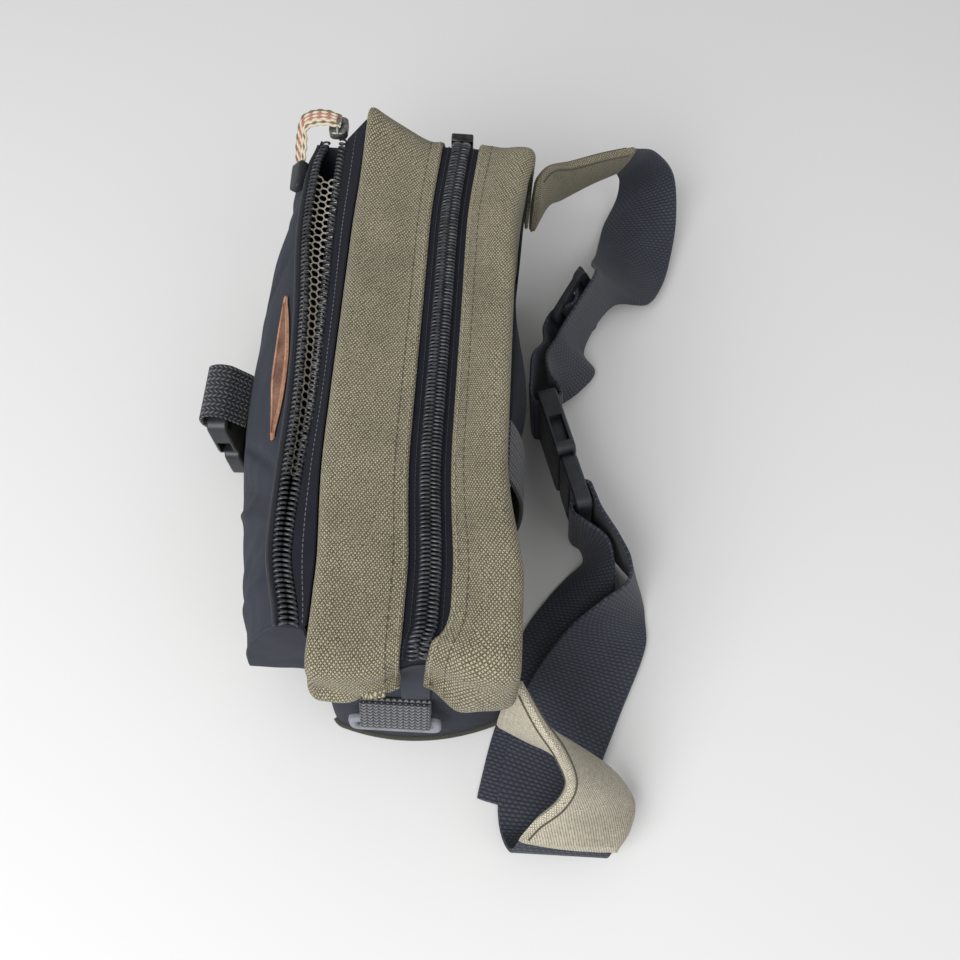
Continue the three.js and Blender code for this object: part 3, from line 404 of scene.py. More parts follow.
def twillFinish(name, dark, light, pitch=0.8, depth=0.1, roughness=0.72, slope=0.8):  # fine slanting ribs
    finish, tree, shader = newFinish(name, roughness=roughness, specular=0.1, sheen=0.02)
    u, v = clothCoords(tree)
    along = calc(tree, "ADD", scaled(tree, v, slope, u), jitter(tree, 400, 0.0006))
    ribs = scaled(tree, wave(tree, along, pitch * mm), 0.5, 0.5)
    across = calc(tree, "SUBTRACT", v, calc(tree, "MULTIPLY", u, 0.4))
    cuts = scaled(tree, wave(tree, across, 0.5 * mm), 0.2, 0.2)
    height = scaled(tree, ribs, 0.7, cuts)
    paintCloth(tree, shader, height, depth, dark, light, 70, low=0.7, high=1.35)
    return finish


def webbingFinish(name, dark, light, rib, column, depth=0.3):  # ribs across a belt, broken into bumps
    finish, tree, shader = newFinish(name, roughness=0.62, specular=0.22, sheen=0.08)
    u, v = clothCoords(tree)
    su = wave(tree, calc(tree, "ADD", u, jitter(tree, 300, 0.0006)), 2 * rib * mm)
    over = calc(tree, "MULTIPLY", su, wave(tree, v, 2 * column * mm))
    ribs = calc(tree, "POWER", calc(tree, "ABSOLUTE", su), 0.6)
    height = scaled(tree, ribs, 0.6, scaled(tree, over, 0.22, 0.18))
    paintCloth(tree, shader, height, depth, dark, light, 60)
    return finish


def chevronFinish(name, dark, light, column=2.2, row=1.9, depth=0.45, apart=2, groove=0.35):  # herringbone
    finish, tree, shader = newFinish(name, roughness=0.6, specular=0.35, sheen=0.15)
    u, v = clothCoords(tree)
    part = calc(tree, "PINGPONG", u, column * mm / 2)  # zigzag across each column
    bar = wave(tree, scaled(tree, part, 1.1, v), row * mm)
    edge = calc(tree, "ABSOLUTE", wave(tree, u, apart * column * mm))
    height = calc(tree, "MULTIPLY", scaled(tree, bar, 0.5, 0.5), calc(tree, "POWER", edge, groove))
    paintCloth(tree, shader, height, depth, dark, light, 80, darkAt=0.15)
    return finish


def mouldedFinish(name, dark, light, roughness=0.42):  # satin plastic, scuffed in places
    finish, tree, shader = newFinish(name, roughness=roughness, specular=0.45)
    colour = ramp(tree, noise(tree, 180, detail=5, rough=0.65), (0.35, dark), (0.8, light))
    gloss = scaled(tree, noise(tree, 90, detail=4), 0.3, roughness - 0.15)
    tree.links.new(gloss, shader.inputs["Roughness"])
    paint(tree, shader, colour, noise(tree, 1400, detail=2), 0.05, strength=0.5)
    return finish


def metalFinish(name, dark, light):  # die-cast metal with its paint worn off
    finish, tree, shader = newFinish(name, roughness=0.38, specular=0.5, metallic=0.85)
    worn = noise(tree, 350, detail=4, rough=0.7)
    tree.links.new(scaled(tree, worn, 0.35, 0.2), shader.inputs["Roughness"])
    paint(tree, shader, ramp(tree, worn, (0.35, dark), (0.65, light)), worn, 0.08, strength=0.6)
    return finish


def threadFinish(name, dark, light):
    finish, tree, shader = newFinish(name, roughness=0.8, specular=0.25, sheen=0.1)
    fibres = noise(tree, 2500, detail=2)
    paint(tree, shader, ramp(tree, fibres, (0.3, dark), (0.7, light)), fibres, 0.05)
    return finish


def leatherFinish(name, dark, mid, light):
    finish, tree, shader = newFinish(name, roughness=0.5, specular=0.4)
    pores = inPlace(tree, addNode(tree, "TexVoronoi", Scale=1100))["Distance"]
    stain = scaled(tree, pores, -0.25, noise(tree, 120, detail=5, rough=0.6))
    colour = ramp(tree, stain, (0.22, dark), (0.62, light), (0.42, mid))
    paint(tree, shader, colour, calc(tree, "SUBTRACT", noise(tree, 500), pores), 0.12, strength=0.7)
    return finish


finishes = {
    "khaki": canvasFinish("khakiCanvas", (0.024, 0.021, 0.012), (0.141, 0.125, 0.08), (0.365, 0.333, 0.24),
                          pitch=(0.84, 0.7), depth=0.32),
    # the near wing's canvas: a finer weave, painted paler than the far wing's khaki as painted light on the
    # near side
    "nearWingLit": canvasFinish("nearWingLitCanvas", (0.1, 0.089, 0.062), (0.31, 0.283, 0.219), (0.58, 0.54, 0.435),
                         pitch=(0.62, 0.55), depth=0.16),
    "nylon": twillFinish("pocketTwill", (0.003, 0.0034, 0.0055), (0.05, 0.055, 0.076)),
    "tape": twillFinish("zipTape", (0.004, 0.0045, 0.007), (0.018, 0.0195, 0.028), 0.6, 0.08, 0.75, 1.4),
    "belt": webbingFinish("beltWebbing", (0.003, 0.0034, 0.005), (0.05, 0.056, 0.076), rib=1.5, column=1.25),
    "chevron": chevronFinish("tabWebbing", (0.006, 0.0065, 0.008), (0.16, 0.165, 0.182)),
    "greyTab": chevronFinish("greyWebbing", (0.006, 0.0065, 0.008), (0.13, 0.137, 0.155), column=4.2,
                             row=2.0, depth=0.6, apart=1, groove=1.6),
    # the zip's own tape, painted lighter where it folds over the near end: painted light
    "zipEnd": twillFinish("zipEnd", (0.02, 0.022, 0.03), (0.06, 0.064, 0.08), 0.6, 0.08, 0.75, 1.4),
    "coil": mouldedFinish("coilNylon", (0.02, 0.021, 0.025), (0.07, 0.073, 0.082), 0.27),
    "plastic": mouldedFinish("buckleNylon", (0.01, 0.011, 0.014), (0.03, 0.032, 0.039)),
    "greyPlastic": mouldedFinish("ringNylon", (0.15, 0.155, 0.185), (0.27, 0.275, 0.31), 0.5),
    "metal": metalFinish("sliderMetal", (0.06, 0.06, 0.058), (0.3, 0.3, 0.285)),
    "darkMetal": metalFinish("darkSlider", (0.02, 0.02, 0.022), (0.07, 0.07, 0.072)),
    "net": threadFinish("netYarn", (0.62, 0.57, 0.45), (0.9, 0.86, 0.74)),
    "leather": leatherFinish("labelLeather", (0.07, 0.03, 0.019), (0.145, 0.066, 0.043),
                             (0.22, 0.112, 0.076)),
    "leatherEdge": leatherFinish("labelEdge", (0.24, 0.115, 0.066), (0.36, 0.185, 0.108),
                                 (0.48, 0.27, 0.165)),
    "cream": threadFinish("pullCream", (0.42, 0.36, 0.26), (0.66, 0.59, 0.46)),
    "red": threadFinish("pullRed", (0.26, 0.09, 0.075), (0.44, 0.19, 0.16)),
    "olive": threadFinish("pullOlive", (0.09, 0.07, 0.04), (0.2, 0.165, 0.1)),
    "khakiThread": threadFinish("khakiThread", (0.2, 0.18, 0.125), (0.36, 0.33, 0.24)),
    "blackThread": threadFinish("blackThread", (0.01, 0.011, 0.014), (0.04, 0.041, 0.05)),
    "greyThread": threadFinish("greyThread", (0.06, 0.06, 0.075), (0.16, 0.16, 0.18)),
    # dark lines along seams, painted shade where the cloth meets
    "seamShade": threadFinish("seamShade", (0.045, 0.04, 0.028), (0.1, 0.09, 0.065)),
    "piping": threadFinish("basePiping", (0.018, 0.018, 0.014), (0.06, 0.058, 0.046)),
}
print("finishes made:", len(finishes))

# Sewn body, in mm: the skin is a loop in the XZ plane, from the middle of the base up the near end and over
bag = dict(halfLength=117, height=104, cloth=1.6, gap=0.3, halfDepth=36, edgeRadius=4, baseBulge=3.5,
           waistX=115.5, topCorner=10, endRound=9, endRoundX=60, endCentreY=-5, topSag=2, sagDepth=2.4,
           edgeSag=0.26, topFrom=30, topTo=8)
ear = dict(rise=16, out=5, reach=20, startY=-9, run=28, power=1.2)
pinch = dict(depth=7, y=3.5, reach=14, x=(98, 115), z=(68, 90))
bow = dict(depth=7.4, x=-18, reach=100, flat=0.8, frontShare=0.4, backFrom=8)
skinHeight = bag["height"] - bag["cloth"] - bag["gap"]
bodyCentre = (0, 0, bag["height"] / 2)


def makeSkin():
    end, bulge, waist = bag["halfLength"], bag["halfLength"] + bag["baseBulge"], bag["waistX"]
    high, corner = skinHeight, bag["topCorner"]
    spans = [
        [(0, 0), (end - 8, 0)],
        [(end - 8, 0), (end, 0), (bulge, 5), (bulge, 14)],
        [(bulge, 14), (bulge, 34), (waist, 40), (waist, 60)],
        [(waist, 60), (waist, 74), (end, 82), (end, high - corner)],
        [(end, high - corner), (end, high), (end - corner, high)],
        [(end - corner, high), (0, high)],
    ]
    t = np.linspace(0, 1, 80)[:, None]
    parts = [bezier(t, *np.array(span, float)) for span in spans]
    near = np.vstack([part[:-1] for part in parts] + [parts[-1][-1:]])
    loop = np.vstack([near, near[-2::-1] * [-1, 1]])
    lengths = lineLength(loop)
    marks = np.cumsum([lineLength(part)[-1] for part in parts]) / lengths[-1]
    tangents = unit(np.gradient(loop, axis=0))
    return dict(s=lengths / lengths[-1], loop=loop, tangents=tangents, marks=marks, total=lengths[-1])


skin = makeSkin()
baseEnd, baseCornerEnd, _, topCornerStart, topCornerEnd, _ = skin["marks"]


def loopAt(s, kind="loop"):
    return [np.interp(s, skin["s"], skin[kind][:, k]) for k in (0, 1)]


def topSag(x):
    return bag["topSag"] * np.cos(np.pi * x / (2 * bag["halfLength"]))


def topShare(z):  # the corner and the sag act near the top alone
    return smooth(z, bag["height"] - bag["topFrom"], bag["height"] - bag["topTo"])


def earAt(x, y):  # the far front corner of the top is drawn up and out
    start = np.clip((ear["startY"] - y) / ear["run"], 0, 1)
    return start ** ear["power"] * hill(x, -bag["halfLength"], ear["reach"])


def pinchAt(x, y):  # the near end is drawn in where the zip turns down
    return pinch["depth"] * smooth(x, *pinch["x"]) * hill(y, pinch["y"], pinch["reach"])


def bowAt(x):  # the middle of the bag bows to the front, the wearer's side more than the rest
    return bow["depth"] * smooth(1 - ((x - bow["x"]) / bow["reach"]) ** 2, 0, bow["flat"])


def skinPoint(s, y, depth=0.0):
    s, y, depth = np.broadcast_arrays(s, y, depth)
    x, z = loopAt(s)
    ahead, rising = loopAt(s, "tangents")
    x, z = x - rising * depth, z + ahead * depth
    end, high, deep = bag["halfLength"], bag["height"], bag["halfDepth"]
    swing = ((y - bag["endCentreY"]) / deep) ** 2 * smooth(np.abs(x), bag["endRoundX"], end)
    pulled = bag["endRound"] * (1 - z / high) * swing
    top = topShare(z)
    lift = top * earAt(x, y)
    sag = top * topSag(x) * np.cos(np.pi * y / (bag["sagDepth"] * deep))
    drawn = pinchAt(x, y) * smooth(z, *pinch["z"])
    back = smooth(y, bow["backFrom"], deep - bag["edgeRadius"])
    share = bow["frontShare"] + (1 - bow["frontShare"]) * back
    x, y = x - np.sign(x) * pulled - ear["out"] * lift - drawn, y - bowAt(x) * share
    return np.stack([x, y, z + ear["rise"] * lift - sag], -1)


def nearEndAt(z):  # how far along the loop the near end reaches the height z
    rising = (skin["s"] >= baseCornerEnd) & (skin["s"] <= topCornerStart)
    return np.interp(z, skin["loop"][rising, 1], skin["s"][rising])


def overTheTop(z, end=34, corner=14, top=150):  # loop positions from the height z of one end to the other
    near = np.concatenate([np.linspace(nearEndAt(z), topCornerStart, end, endpoint=False),
                           np.linspace(topCornerStart, topCornerEnd, corner, endpoint=False)])
    middle = np.linspace(topCornerEnd, 1 - topCornerEnd, top)
    return np.concatenate([near, middle, 1 - near[::-1]])


# Khaki strips beside the main zip, over the top and down both ends
strips = dict(zipY=3.5, opening=16.8, flare=5, flarePower=0.7, lap=8, lapX=(92, 122), lapShare=0.5,
              flatSteps=30, rollSteps=7, rollShare=0.6, heldShare=0.12, uneven=0.45, stretch=1.6, seed=11,
              size=40, thread=0.22)
hems = {  # share of the strip's width, and the height that its end hangs down to
    "gusset_front": table("x z", (1, 72), (0.75, 66), (0.5, 63), (0.25, 78), (0, 91)),
    "gusset_back": table("x z", (1, 58), (0.75, 60), (0.45, 58), (0.28, 52), (0.12, 74), (0, 89)),
}
frontFolds = dict(hollow=1.8, hollowY=(-15, 6), hollowFrom=(-112, -85), hollowTo=(-35, 5), fold=1.6,
                  foldX=(118, 7), foldZ=(99, 6), dip=2.2, dipX=(100, 112), dipZ=(86, 4))
# the facing row's stitches take the seamShade colour: painted shade along the seam
stripSeams = table(  # the strip's own edge, and its facing underneath
    "part away lift kind", ("edge", 0.9, 0.22, "khakiThread"), ("facing", 4.6, 0.08, "seamShade"))
seamRows = slice(20, -20)


def stripSection(side):  # across a strip: y, depth and share of the width, flat and then rolled over
    start = strips["zipY"] + side * strips["opening"] / 2
    radius, deep, turn = bag["edgeRadius"], bag["halfDepth"], strips["rollShare"]
    flat = np.linspace(start, side * (deep - radius), strips["flatSteps"], endpoint=False)
    angle = np.linspace(0, np.pi / 2, strips["rollSteps"])
    y = np.concatenate([flat, side * (deep - radius + radius * np.sin(angle))])
    depth = np.concatenate([0 * flat, radius * (1 - np.cos(angle))]) - bag["cloth"] - bag["gap"]
    share = np.concatenate([np.linspace(0, turn, len(flat), endpoint=False),
                            np.linspace(turn, 1, len(angle))])
    return y, depth, share


def strip(side, hem):
    columns = []
    sections = stripSection(side)
    for y, depth, share in zip(*sections):
        hemZ = lookup(hem, "z", share)
        run = overTheTop(hemZ)
        x, z = loopAt(run)
        hang = 1 - smooth(z, hemZ, skinHeight - bag["topCorner"])
        puff = np.sin(np.pi * hang ** strips["flarePower"])
        lap = 0  # the back strip laps over the zip's near end
        if side > 0:
            lap = smooth(x, *strips["lapX"]) * (1 - smooth(share, 0, strips["lapShare"]))
        columns.append(skinPoint(run, y - strips["lap"] * lap, depth - strips["flare"] * puff - lap))
    grid = np.stack(columns, 1)
    normals = outwardNormals(grid, bodyCentre)
    x, y, z = np.moveaxis(grid, -1, 0)
    share = sections[2][None]
    rest = smooth(share, 0, strips["heldShare"]) * (1 - smooth(share, strips["rollShare"], 1))
    uneven = wobble(x, y * strips["stretch"], strips["seed"] + side, strips["size"])
    press = strips["uneven"] * uneven * rest
    if side < 0:  # long hollow towards the far end of the front strip, and the fold at its near end
        f = frontFolds
        reach = smooth(x, *f["hollowFrom"]) * (1 - smooth(x, *f["hollowTo"]))
        press = press - f["hollow"] * hill(y, *f["hollowY"]) * reach
        press = press + f["fold"] * hill(x, *f["foldX"]) * hill(z, *f["foldZ"]) * rest
        press = press - f["dip"] * smooth(x, *f["dipX"]) * hill(z, *f["dipZ"]) * rest
    return grid + normals * press[..., None], normals


def stripPieces(name, side):
    grid, normals = strip(side, hems[name])
    sheet(name, grid, "khaki", "khaki_canvas", inside=bodyCentre)
    away = np.abs(stripSection(side)[0] - strips["zipY"]) - strips["opening"] / 2
    for seam in stripSeams:
        column = np.argmin(np.abs(away - seam["away"]))
        paths = stitchPaths(grid[seamRows, column], normals[seamRows, column], lift=seam["lift"])
        rods(name + "_" + seam["part"] + "_stitches", paths, strips["thread"], seam["kind"], "khaki_canvas")


stripPieces("gusset_front", -1)
stripPieces("gusset_back", 1)
print("khaki strips sewn")

# Main zip: woven tape under the strips' edges, with two interlocked coils sewn on it
mainZip = dict(tape=22.4, under=1.0, seamLift=0.1, tapeEnd=82.4, across=13, coilEnd=85, coilFrom=39,
               coilLift=1.35, shift=2, shiftX=(98, 116), pitch=1.6, coilWidth=3.6, coilHeight=1.9,
               spread=1.85, wire=0.4, sideSeam=5.4, thread=0.2)
zipEnd = dict(lowZ=66, y=0.5, halfWidth=5, steps=24, lift=0.9, under=0.8)


def coilPath(line, across, up, size, phase=0.0, perTurn=12):  # flattened spiral along a line
    lengths = lineLength(line)
    places = np.arange(0, lengths[-1], size["pitch"] / perTurn)
    middle, side, over = (readAlong(places, lengths, part) for part in (line, across, up))
    angle = (2 * np.pi * places / size["pitch"] + phase)[:, None]
    wide, high = size["coilWidth"], size["coilHeight"]
    return middle + side * np.cos(angle) * wide / 2 + over * np.sin(angle) * high / 2


def makeMainZip():
    run = overTheTop(mainZip["tapeEnd"])
    across = strips["zipY"] + np.linspace(-0.5, 0.5, mainZip["across"]) * mainZip["tape"]
    tape = skinPoint(run[:, None], across[None])
    sheet("main_zip_tape", tape, "tape", "zip", under=mainZip["under"], inside=bodyCentre)

    run = overTheTop(mainZip["coilEnd"])[mainZip["coilFrom"]:]  # the tape alone turns down the near end
    zipY = strips["zipY"] - mainZip["shift"] * smooth(loopAt(run)[0], *mainZip["shiftX"])
    middle = skinPoint(run, zipY, -mainZip["coilLift"])
    up = unit(middle - skinPoint(run, zipY, 1))
    sideways = np.tile([0.0, 1, 0], (len(run), 1))
    rows, seams = [], []
    for side, phase in ((-1, 0), (1, np.pi)):
        line = middle + side * mainZip["spread"] * sideways
        rows.append(coilPath(line, side * sideways, up, mainZip, phase))
        line = skinPoint(run, zipY + side * mainZip["sideSeam"], -mainZip["seamLift"])
        seams += stitchPaths(line, up, stitch=1.5, gap=0.5, lift=0.15)
    rods("main_zip_coil", rows, mainZip["wire"], "coil", "zip", "main_zip_coil", sides=6)
    rods("main_zip_seams", seams, mainZip["thread"], "blackThread", "zip")

    run = np.linspace(nearEndAt(zipEnd["lowZ"]), topCornerStart, zipEnd["steps"])  # end folded above the tab
    across = zipEnd["y"] + np.linspace(-1, 1, mainZip["across"]) * zipEnd["halfWidth"]
    fold = skinPoint(run[:, None], across[None], -zipEnd["lift"])
    # its lighter tape is painted light on the near end
    sheet("main_zip_end", fold, "zipEnd", "zip", under=zipEnd["under"], inside=bodyCentre, alone=True)


makeMainZip()
print("main zip closed")

# Base panel under the bag and up both ends, with a bound edge round the near and far bulge
base = dict(topZ=82, halfDepth=34.1, rollSteps=6, flatSteps=24, endSteps=40, cornerSteps=14, middle=0.003,
            pipingZ=14.1, pipingRadius=1.3, pipingLift=0.4)


def baseSection():
    radius, deep = bag["edgeRadius"], base["halfDepth"]
    angle = np.linspace(0, np.pi / 2, base["rollSteps"])
    roll = deep - radius + radius * np.sin(angle)
    flat = np.linspace(radius - deep, deep - radius, base["flatSteps"])[1:-1]
    depth = radius * (1 - np.cos(angle))
    return np.concatenate([-roll[::-1], flat, roll]), np.concatenate([depth[::-1], 0 * flat, depth])


def makeBase():
    y, depth = baseSection()
    steps, top = base["endSteps"], nearEndAt(base["topZ"])
    half = np.concatenate([np.linspace(top, baseCornerEnd, steps, endpoint=False),
                           np.linspace(baseCornerEnd, baseEnd, base["cornerSteps"], endpoint=False),
                           np.linspace(baseEnd, base["middle"], steps)])
    run = np.concatenate([half, 1 - half[::-1]])
    grid = skinPoint(run[:, None], y[None], depth[None])
    sheet("base_panel", grid, "nylon", "black_nylon", inside=bodyCentre)
    s = nearEndAt(base["pipingZ"])
    bound = [skinPoint(at, y[2:-2], depth[2:-2] - base["pipingLift"]) for at in (s, 1 - s)]
    rods("base_piping", bound, base["pipingRadius"], "piping", "black_nylon", sides=10)


makeBase()

# Side panels between the strips and the base
panels = dict(lowZ=4.6, highZ=skinHeight - 2.8, inset=6, corner=0.4, cornerFrom=0.85, footZ=15,
              frontBulge=2, backBulge=2.5, roundX=0.6, roundZ=0.8, uneven=0.25, seed=31, size=50,
              calmFoot=(8, 20), calmTop=(84, 96), steps=(90, 44))


def panelHeight(z):  # 0 at a side panel's foot and 1 at its top
    return (z - panels["lowZ"]) / (panels["highZ"] - panels["lowZ"])


def panelReach(z):
    s = nearEndAt(np.clip(z, panels["footZ"], skinHeight - bag["topCorner"] - 1))
    t = panelHeight(z)
    corners = smooth(t, panels["cornerFrom"], 1) + smooth(1 - t, panels["cornerFrom"], 1)
    reach = skinPoint(s, base["halfDepth"], panels["inset"])[..., 0]
    return reach - panels["corner"] * panels["inset"] * corners


def panelY(x, z, bulge):
    u = np.clip(0.5 + x / (2 * panelReach(z)), 0, 1)
    upright = np.maximum(0, np.sin(np.pi * np.clip(panelHeight(z), 0, 1)))
    swell = np.sin(np.pi * u) ** panels["roundX"] * upright ** panels["roundZ"]
    return base["halfDepth"] + bulge * swell


def sidePanel(name, side, bulge, kind, slotName):
    along, upward = panels["steps"]
    z = np.linspace(panels["lowZ"], panels["highZ"], upward)[:, None]
    x = np.linspace(-1, 1, along)[None] * panelReach(z)
    free = smooth(z, *panels["calmFoot"]) * (1 - smooth(z, *panels["calmTop"]))
    uneven = panels["uneven"] * wobble(x, z, panels["seed"] + side, panels["size"]) * free
    shift = bowAt(x) * (bow["frontShare"] if side < 0 else 1)
    rise = ear["rise"] * earAt(x, side * base["halfDepth"]) - bag["edgeSag"] * topSag(x)
    grid = np.stack([x, side * (panelY(x, z, bulge) + uneven) - shift, z + topShare(z) * rise], -1)
    sheet(name, grid.transpose(1, 0, 2), kind, slotName, inside=bodyCentre)


sidePanel("front_panel", -1, panels["frontBulge"], "nylon", "black_nylon")
sidePanel("back_panel", 1, panels["backBulge"], "khaki", "khaki_canvas")
print("base and sides sewn")

# Front pocket, row by row along the bag: the two coil rows, the seam below the zip and the widest bulge
pocket = dict(nearX=101, farX=-117, midZ=41, tuck=7, wallY=-37.5, cloth=1.6, inside=(0, -55, 45),
              slope=0.45, slopeFrom=40, lap=0.3, faceOut=7, faceUp=8, skirtOut=4, footLift=0.5, pressIn=0.8,
              pressDown=0.5, steps=190, floorSteps=12, floorCloth=1.8, piping=0.9,
              pipingAt=(0, -0.6, 0.5))
pocketRows = table(
    "x backY backZ frontY frontZ seamY seamZ bulgeY",
    (101, -41.2, 98, -44.6, 98, -47.2, 97, -66),
    (75, -47.3, 95.5, -50.6, 95.5, -53.6, 94, -72),
    (45, -47.6, 94.8, -51.9, 95, -55, 92.8, -77),
    (10, -46.6, 94.3, -52.2, 95, -55.3, 93, -82),
    (-30, -47.2, 94.5, -54.6, 95.2, -57.7, 93.2, -83),
    (-70, -48.4, 95, -58.4, 95.5, -61.5, 93, -80),
    (-105, -48.4, 96, -58.3, 95.5, -61.4, 92.5, -75),
    (-117, -48, 97.3, -55.5, 95.5, -58.7, 92.5, -71),
)
creases = table(
    "x v depth width slant", (38, 0.55, 2.6, 5, -26), (62, 0.6, 2, 6, 12), (-88, 0.5, 1.5, 9, 14))
fineCreases = table(  # sharper wrinkles of the cloth itself
    "x v depth width slant", (30, 0.3, 2.1, 2.4, -34), (52, 0.45, -2, 2.6, -20), (74, 0.5, 1.6, 3, 16),
    (86, 0.55, -1.5, 2.6, 8), (-58, 0.3, 1.5, 3, 24), (-100, 0.45, 1.2, 3.2, -12))
faceWaves, skirtWaves = table("depth height seed size steps", (0.4, 60, 5, 30, 46), (0.5, 45, 6, 35, 30))
ends = dict(steps=24, across=16, drop=3, wallGap=1, out=0.5, uneven=0.6, seed=8, size=22, inward=40)


def pocketAt(key, x):
    return np.array([lookup(pocketRows, key, float(at)) for at in np.ravel(x)]).reshape(np.shape(x))


def pocketLine(x, edge):
    return xyz(x, pocketAt(edge + "Y", x), pocketAt(edge + "Z", x))


def pressed(x, v, rows):
    total = 0
    for row in rows:
        total = total + row["depth"] * hill(x - row["slant"] * (v - row["v"]), row["x"], row["width"])
    return total


def slopedX(x, z):  # the near end slopes in below the widest bulge
    near = smooth(x, pocket["slopeFrom"], pocket["nearX"])
    return x - pocket["slope"] * np.maximum(0, pocket["midZ"] - z) * near


def pocketFace(x, v, extra=()):
    seamY, seamZ, bulgeY = (pocketAt(key, x) for key in ("seamY", "seamZ", "bulgeY"))
    press = pressed(x, v, [*creases, *extra]) * np.sin(np.pi * v)
    y = bezier(v, seamY, (seamY + bulgeY) / 2 - pocket["faceOut"], bulgeY)
    z = bezier(v, seamZ - pocket["lap"], (seamZ + pocket["midZ"]) / 2 + pocket["faceUp"], pocket["midZ"])
    return xyz(x, y + press * pocket["pressIn"], z - press * pocket["pressDown"])


def pocketSkirt(x, v):
    bulgeY, midZ = pocketAt("bulgeY", x), pocket["midZ"]
    y = bezier(v, bulgeY, bulgeY - pocket["skirtOut"], bulgeY + pocket["tuck"])
    z = bezier(v, midZ - pocket["lap"], midZ / 2, pocket["cloth"] + pocket["footLift"])
    return xyz(slopedX(x, z), y, z)


def pocketWave(row, x, v):
    return row["depth"] * wobble(x, v * row["height"], row["seed"], row["size"]) * np.sin(np.pi * v)


def pocketTop(x, v):  # the upper face with all its wrinkles
    face = pocketFace(x, v, fineCreases)
    return face + outwardNormals(face, pocket["inside"]) * pocketWave(faceWaves, x, v)[..., None]


def makePocket():
    inside = pocket["inside"]
    x = np.linspace(pocket["nearX"], pocket["farX"], pocket["steps"])[:, None]
    v = np.linspace(0, 1, faceWaves["steps"])[None]
    sheet("pocket_top", pocketTop(x + 0 * v, v + 0 * x), "nylon", "black_nylon", inside=inside)
    v = np.linspace(0, 1, skirtWaves["steps"])[None]
    skirt = pocketSkirt(x, v)
    skirt[..., 1] += pocketWave(skirtWaves, x, v)
    sheet("pocket_front", skirt, "khaki", "khaki_canvas", inside=inside)
    y = pocketAt("bulgeY", x) + pocket["tuck"]
    wall = pocket["wallY"] - bow["frontShare"] * bowAt(x)
    floor = xyz(slopedX(x, 0), y + (wall - y) * np.linspace(0, 1, pocket["floorSteps"])[None], 0.0)
    sheet("pocket_bottom", floor, "nylon", "black_nylon", under=pocket["floorCloth"], inside=inside)
    seam = pocketFace(x[:, 0], np.zeros(len(x))) + pocket["pipingAt"]
    rods("pocket_piping", [seam], pocket["piping"], "blackThread", "black_nylon", sides=8)


def pocketEnd(name, x, outward):
    v = np.linspace(0, 1, ends["steps"])
    rim = np.vstack([pocketFace(x + 0 * v, v), pocketSkirt(x + 0 * v, v)[1:]])
    z = np.minimum(rim[:, 2], lookup(pocketRows, "backZ", x) - ends["drop"])
    wall = xyz(slopedX(x, z), pocket["wallY"] - ends["wallGap"], z)
    t = np.linspace(0, 1, ends["across"])[None, :, None]
    grid = mix(rim[:, None], wall[:, None], t)
    uneven = wobble(grid[..., 1], grid[..., 2], ends["seed"] + outward, ends["size"])
    grid[..., 0] += outward * ends["out"]
    grid[..., 0] += outward * ends["uneven"] * uneven * np.sin(np.pi * t[..., 0])
    inside = (x - outward * ends["inward"], *pocket["inside"][1:])
    sheet(name, grid, "nylon", "black_nylon", inside=inside)


makePocket()
pocketEnd("pocket_end_near", pocket["nearX"], 1)
pocketEnd("pocket_end_far", pocket["farX"], -1)
print("front pocket sewn")

# Pocket zip, unzipped: the facing, two coil rows and the front tape
mouth = dict(coilWidth=2.9, coilHeight=1.9, pitch=2.0, wire=0.5, facingY=-36.8, facingZ=100.5, earShare=0.6,
             backLap=(0, 0.7, 0.4), frontLap=(0, -0.6, 0), seamLift=(0, 0, 0.2), halfTape=0.5,
             steps=(170, 10), stitchAt=0.55, stitchLift=(0, 0, 0.5), thread=0.22)


def makePocketZip():
    along, wide = mouth["steps"]
    x = np.linspace(pocket["nearX"], pocket["farX"], along)
    across, up = np.tile([0.0, 1, 0], (along, 1)), np.tile([0.0, 0, 1], (along, 1))
    back, front, seam = (pocketLine(x, edge) for edge in ("back", "front", "seam"))
    rise = mouth["earShare"] * ear["rise"] * earAt(x, -bag["halfDepth"]) - bag["edgeSag"] * topSag(x)
    facing = xyz(x, mouth["facingY"] - bow["frontShare"] * bowAt(x), mouth["facingZ"] + rise)
    reach = across * mouth["coilWidth"] / 2
    backEdge = back + reach + mouth["backLap"]
    tapes = {"pocket_tape_back": (facing, backEdge),
             "pocket_tape_front": (front - reach + mouth["frontLap"], seam + mouth["seamLift"])}
    half = mouth["halfTape"]
    for name, (a, b) in tapes.items():
        grid = mix(a[:, None], b[:, None], np.linspace(0, 1, wide)[None, :, None])
        sheet(name, grid, "tape", "black_nylon", over=half, under=half)
    for name, line, side in (("pocket_coil_back", back, 1), ("pocket_coil_front", front, -1)):
        rods(name, [coilPath(line, side * across, up, mouth)], mouth["wire"], "coil", "zip", name, sides=6)
    line = mix(facing, backEdge, mouth["stitchAt"]) + mouth["stitchLift"]
    paths = stitchPaths(line, up, stitch=1.4, gap=0.6, lift=0.15)
    rods("pocket_zip_stitches", paths, mouth["thread"], "greyThread", "black_nylon")


makePocketZip()
print("pocket zip laid open")

# Net across the pocket's mouth, hung below the zip: zigzag yarns linked into six-sided cells
net = dict(nearX=40, farX=-104, front=(0, 1.2, -2.6), back=(0, 1, -8), sag=2, side=2.1, yarn=0.4, depth=14)


def netPoint(x, down):  # down runs from 0 at the front seam to 1 at the back edge
    t = np.clip(down, 0, 1)[:, None]
    hung = mix(pocketLine(x, "seam") + net["front"], pocketLine(x, "back") + net["back"], t)
    return hung - [0, 0, net["sag"]] * np.sin(np.pi * t)


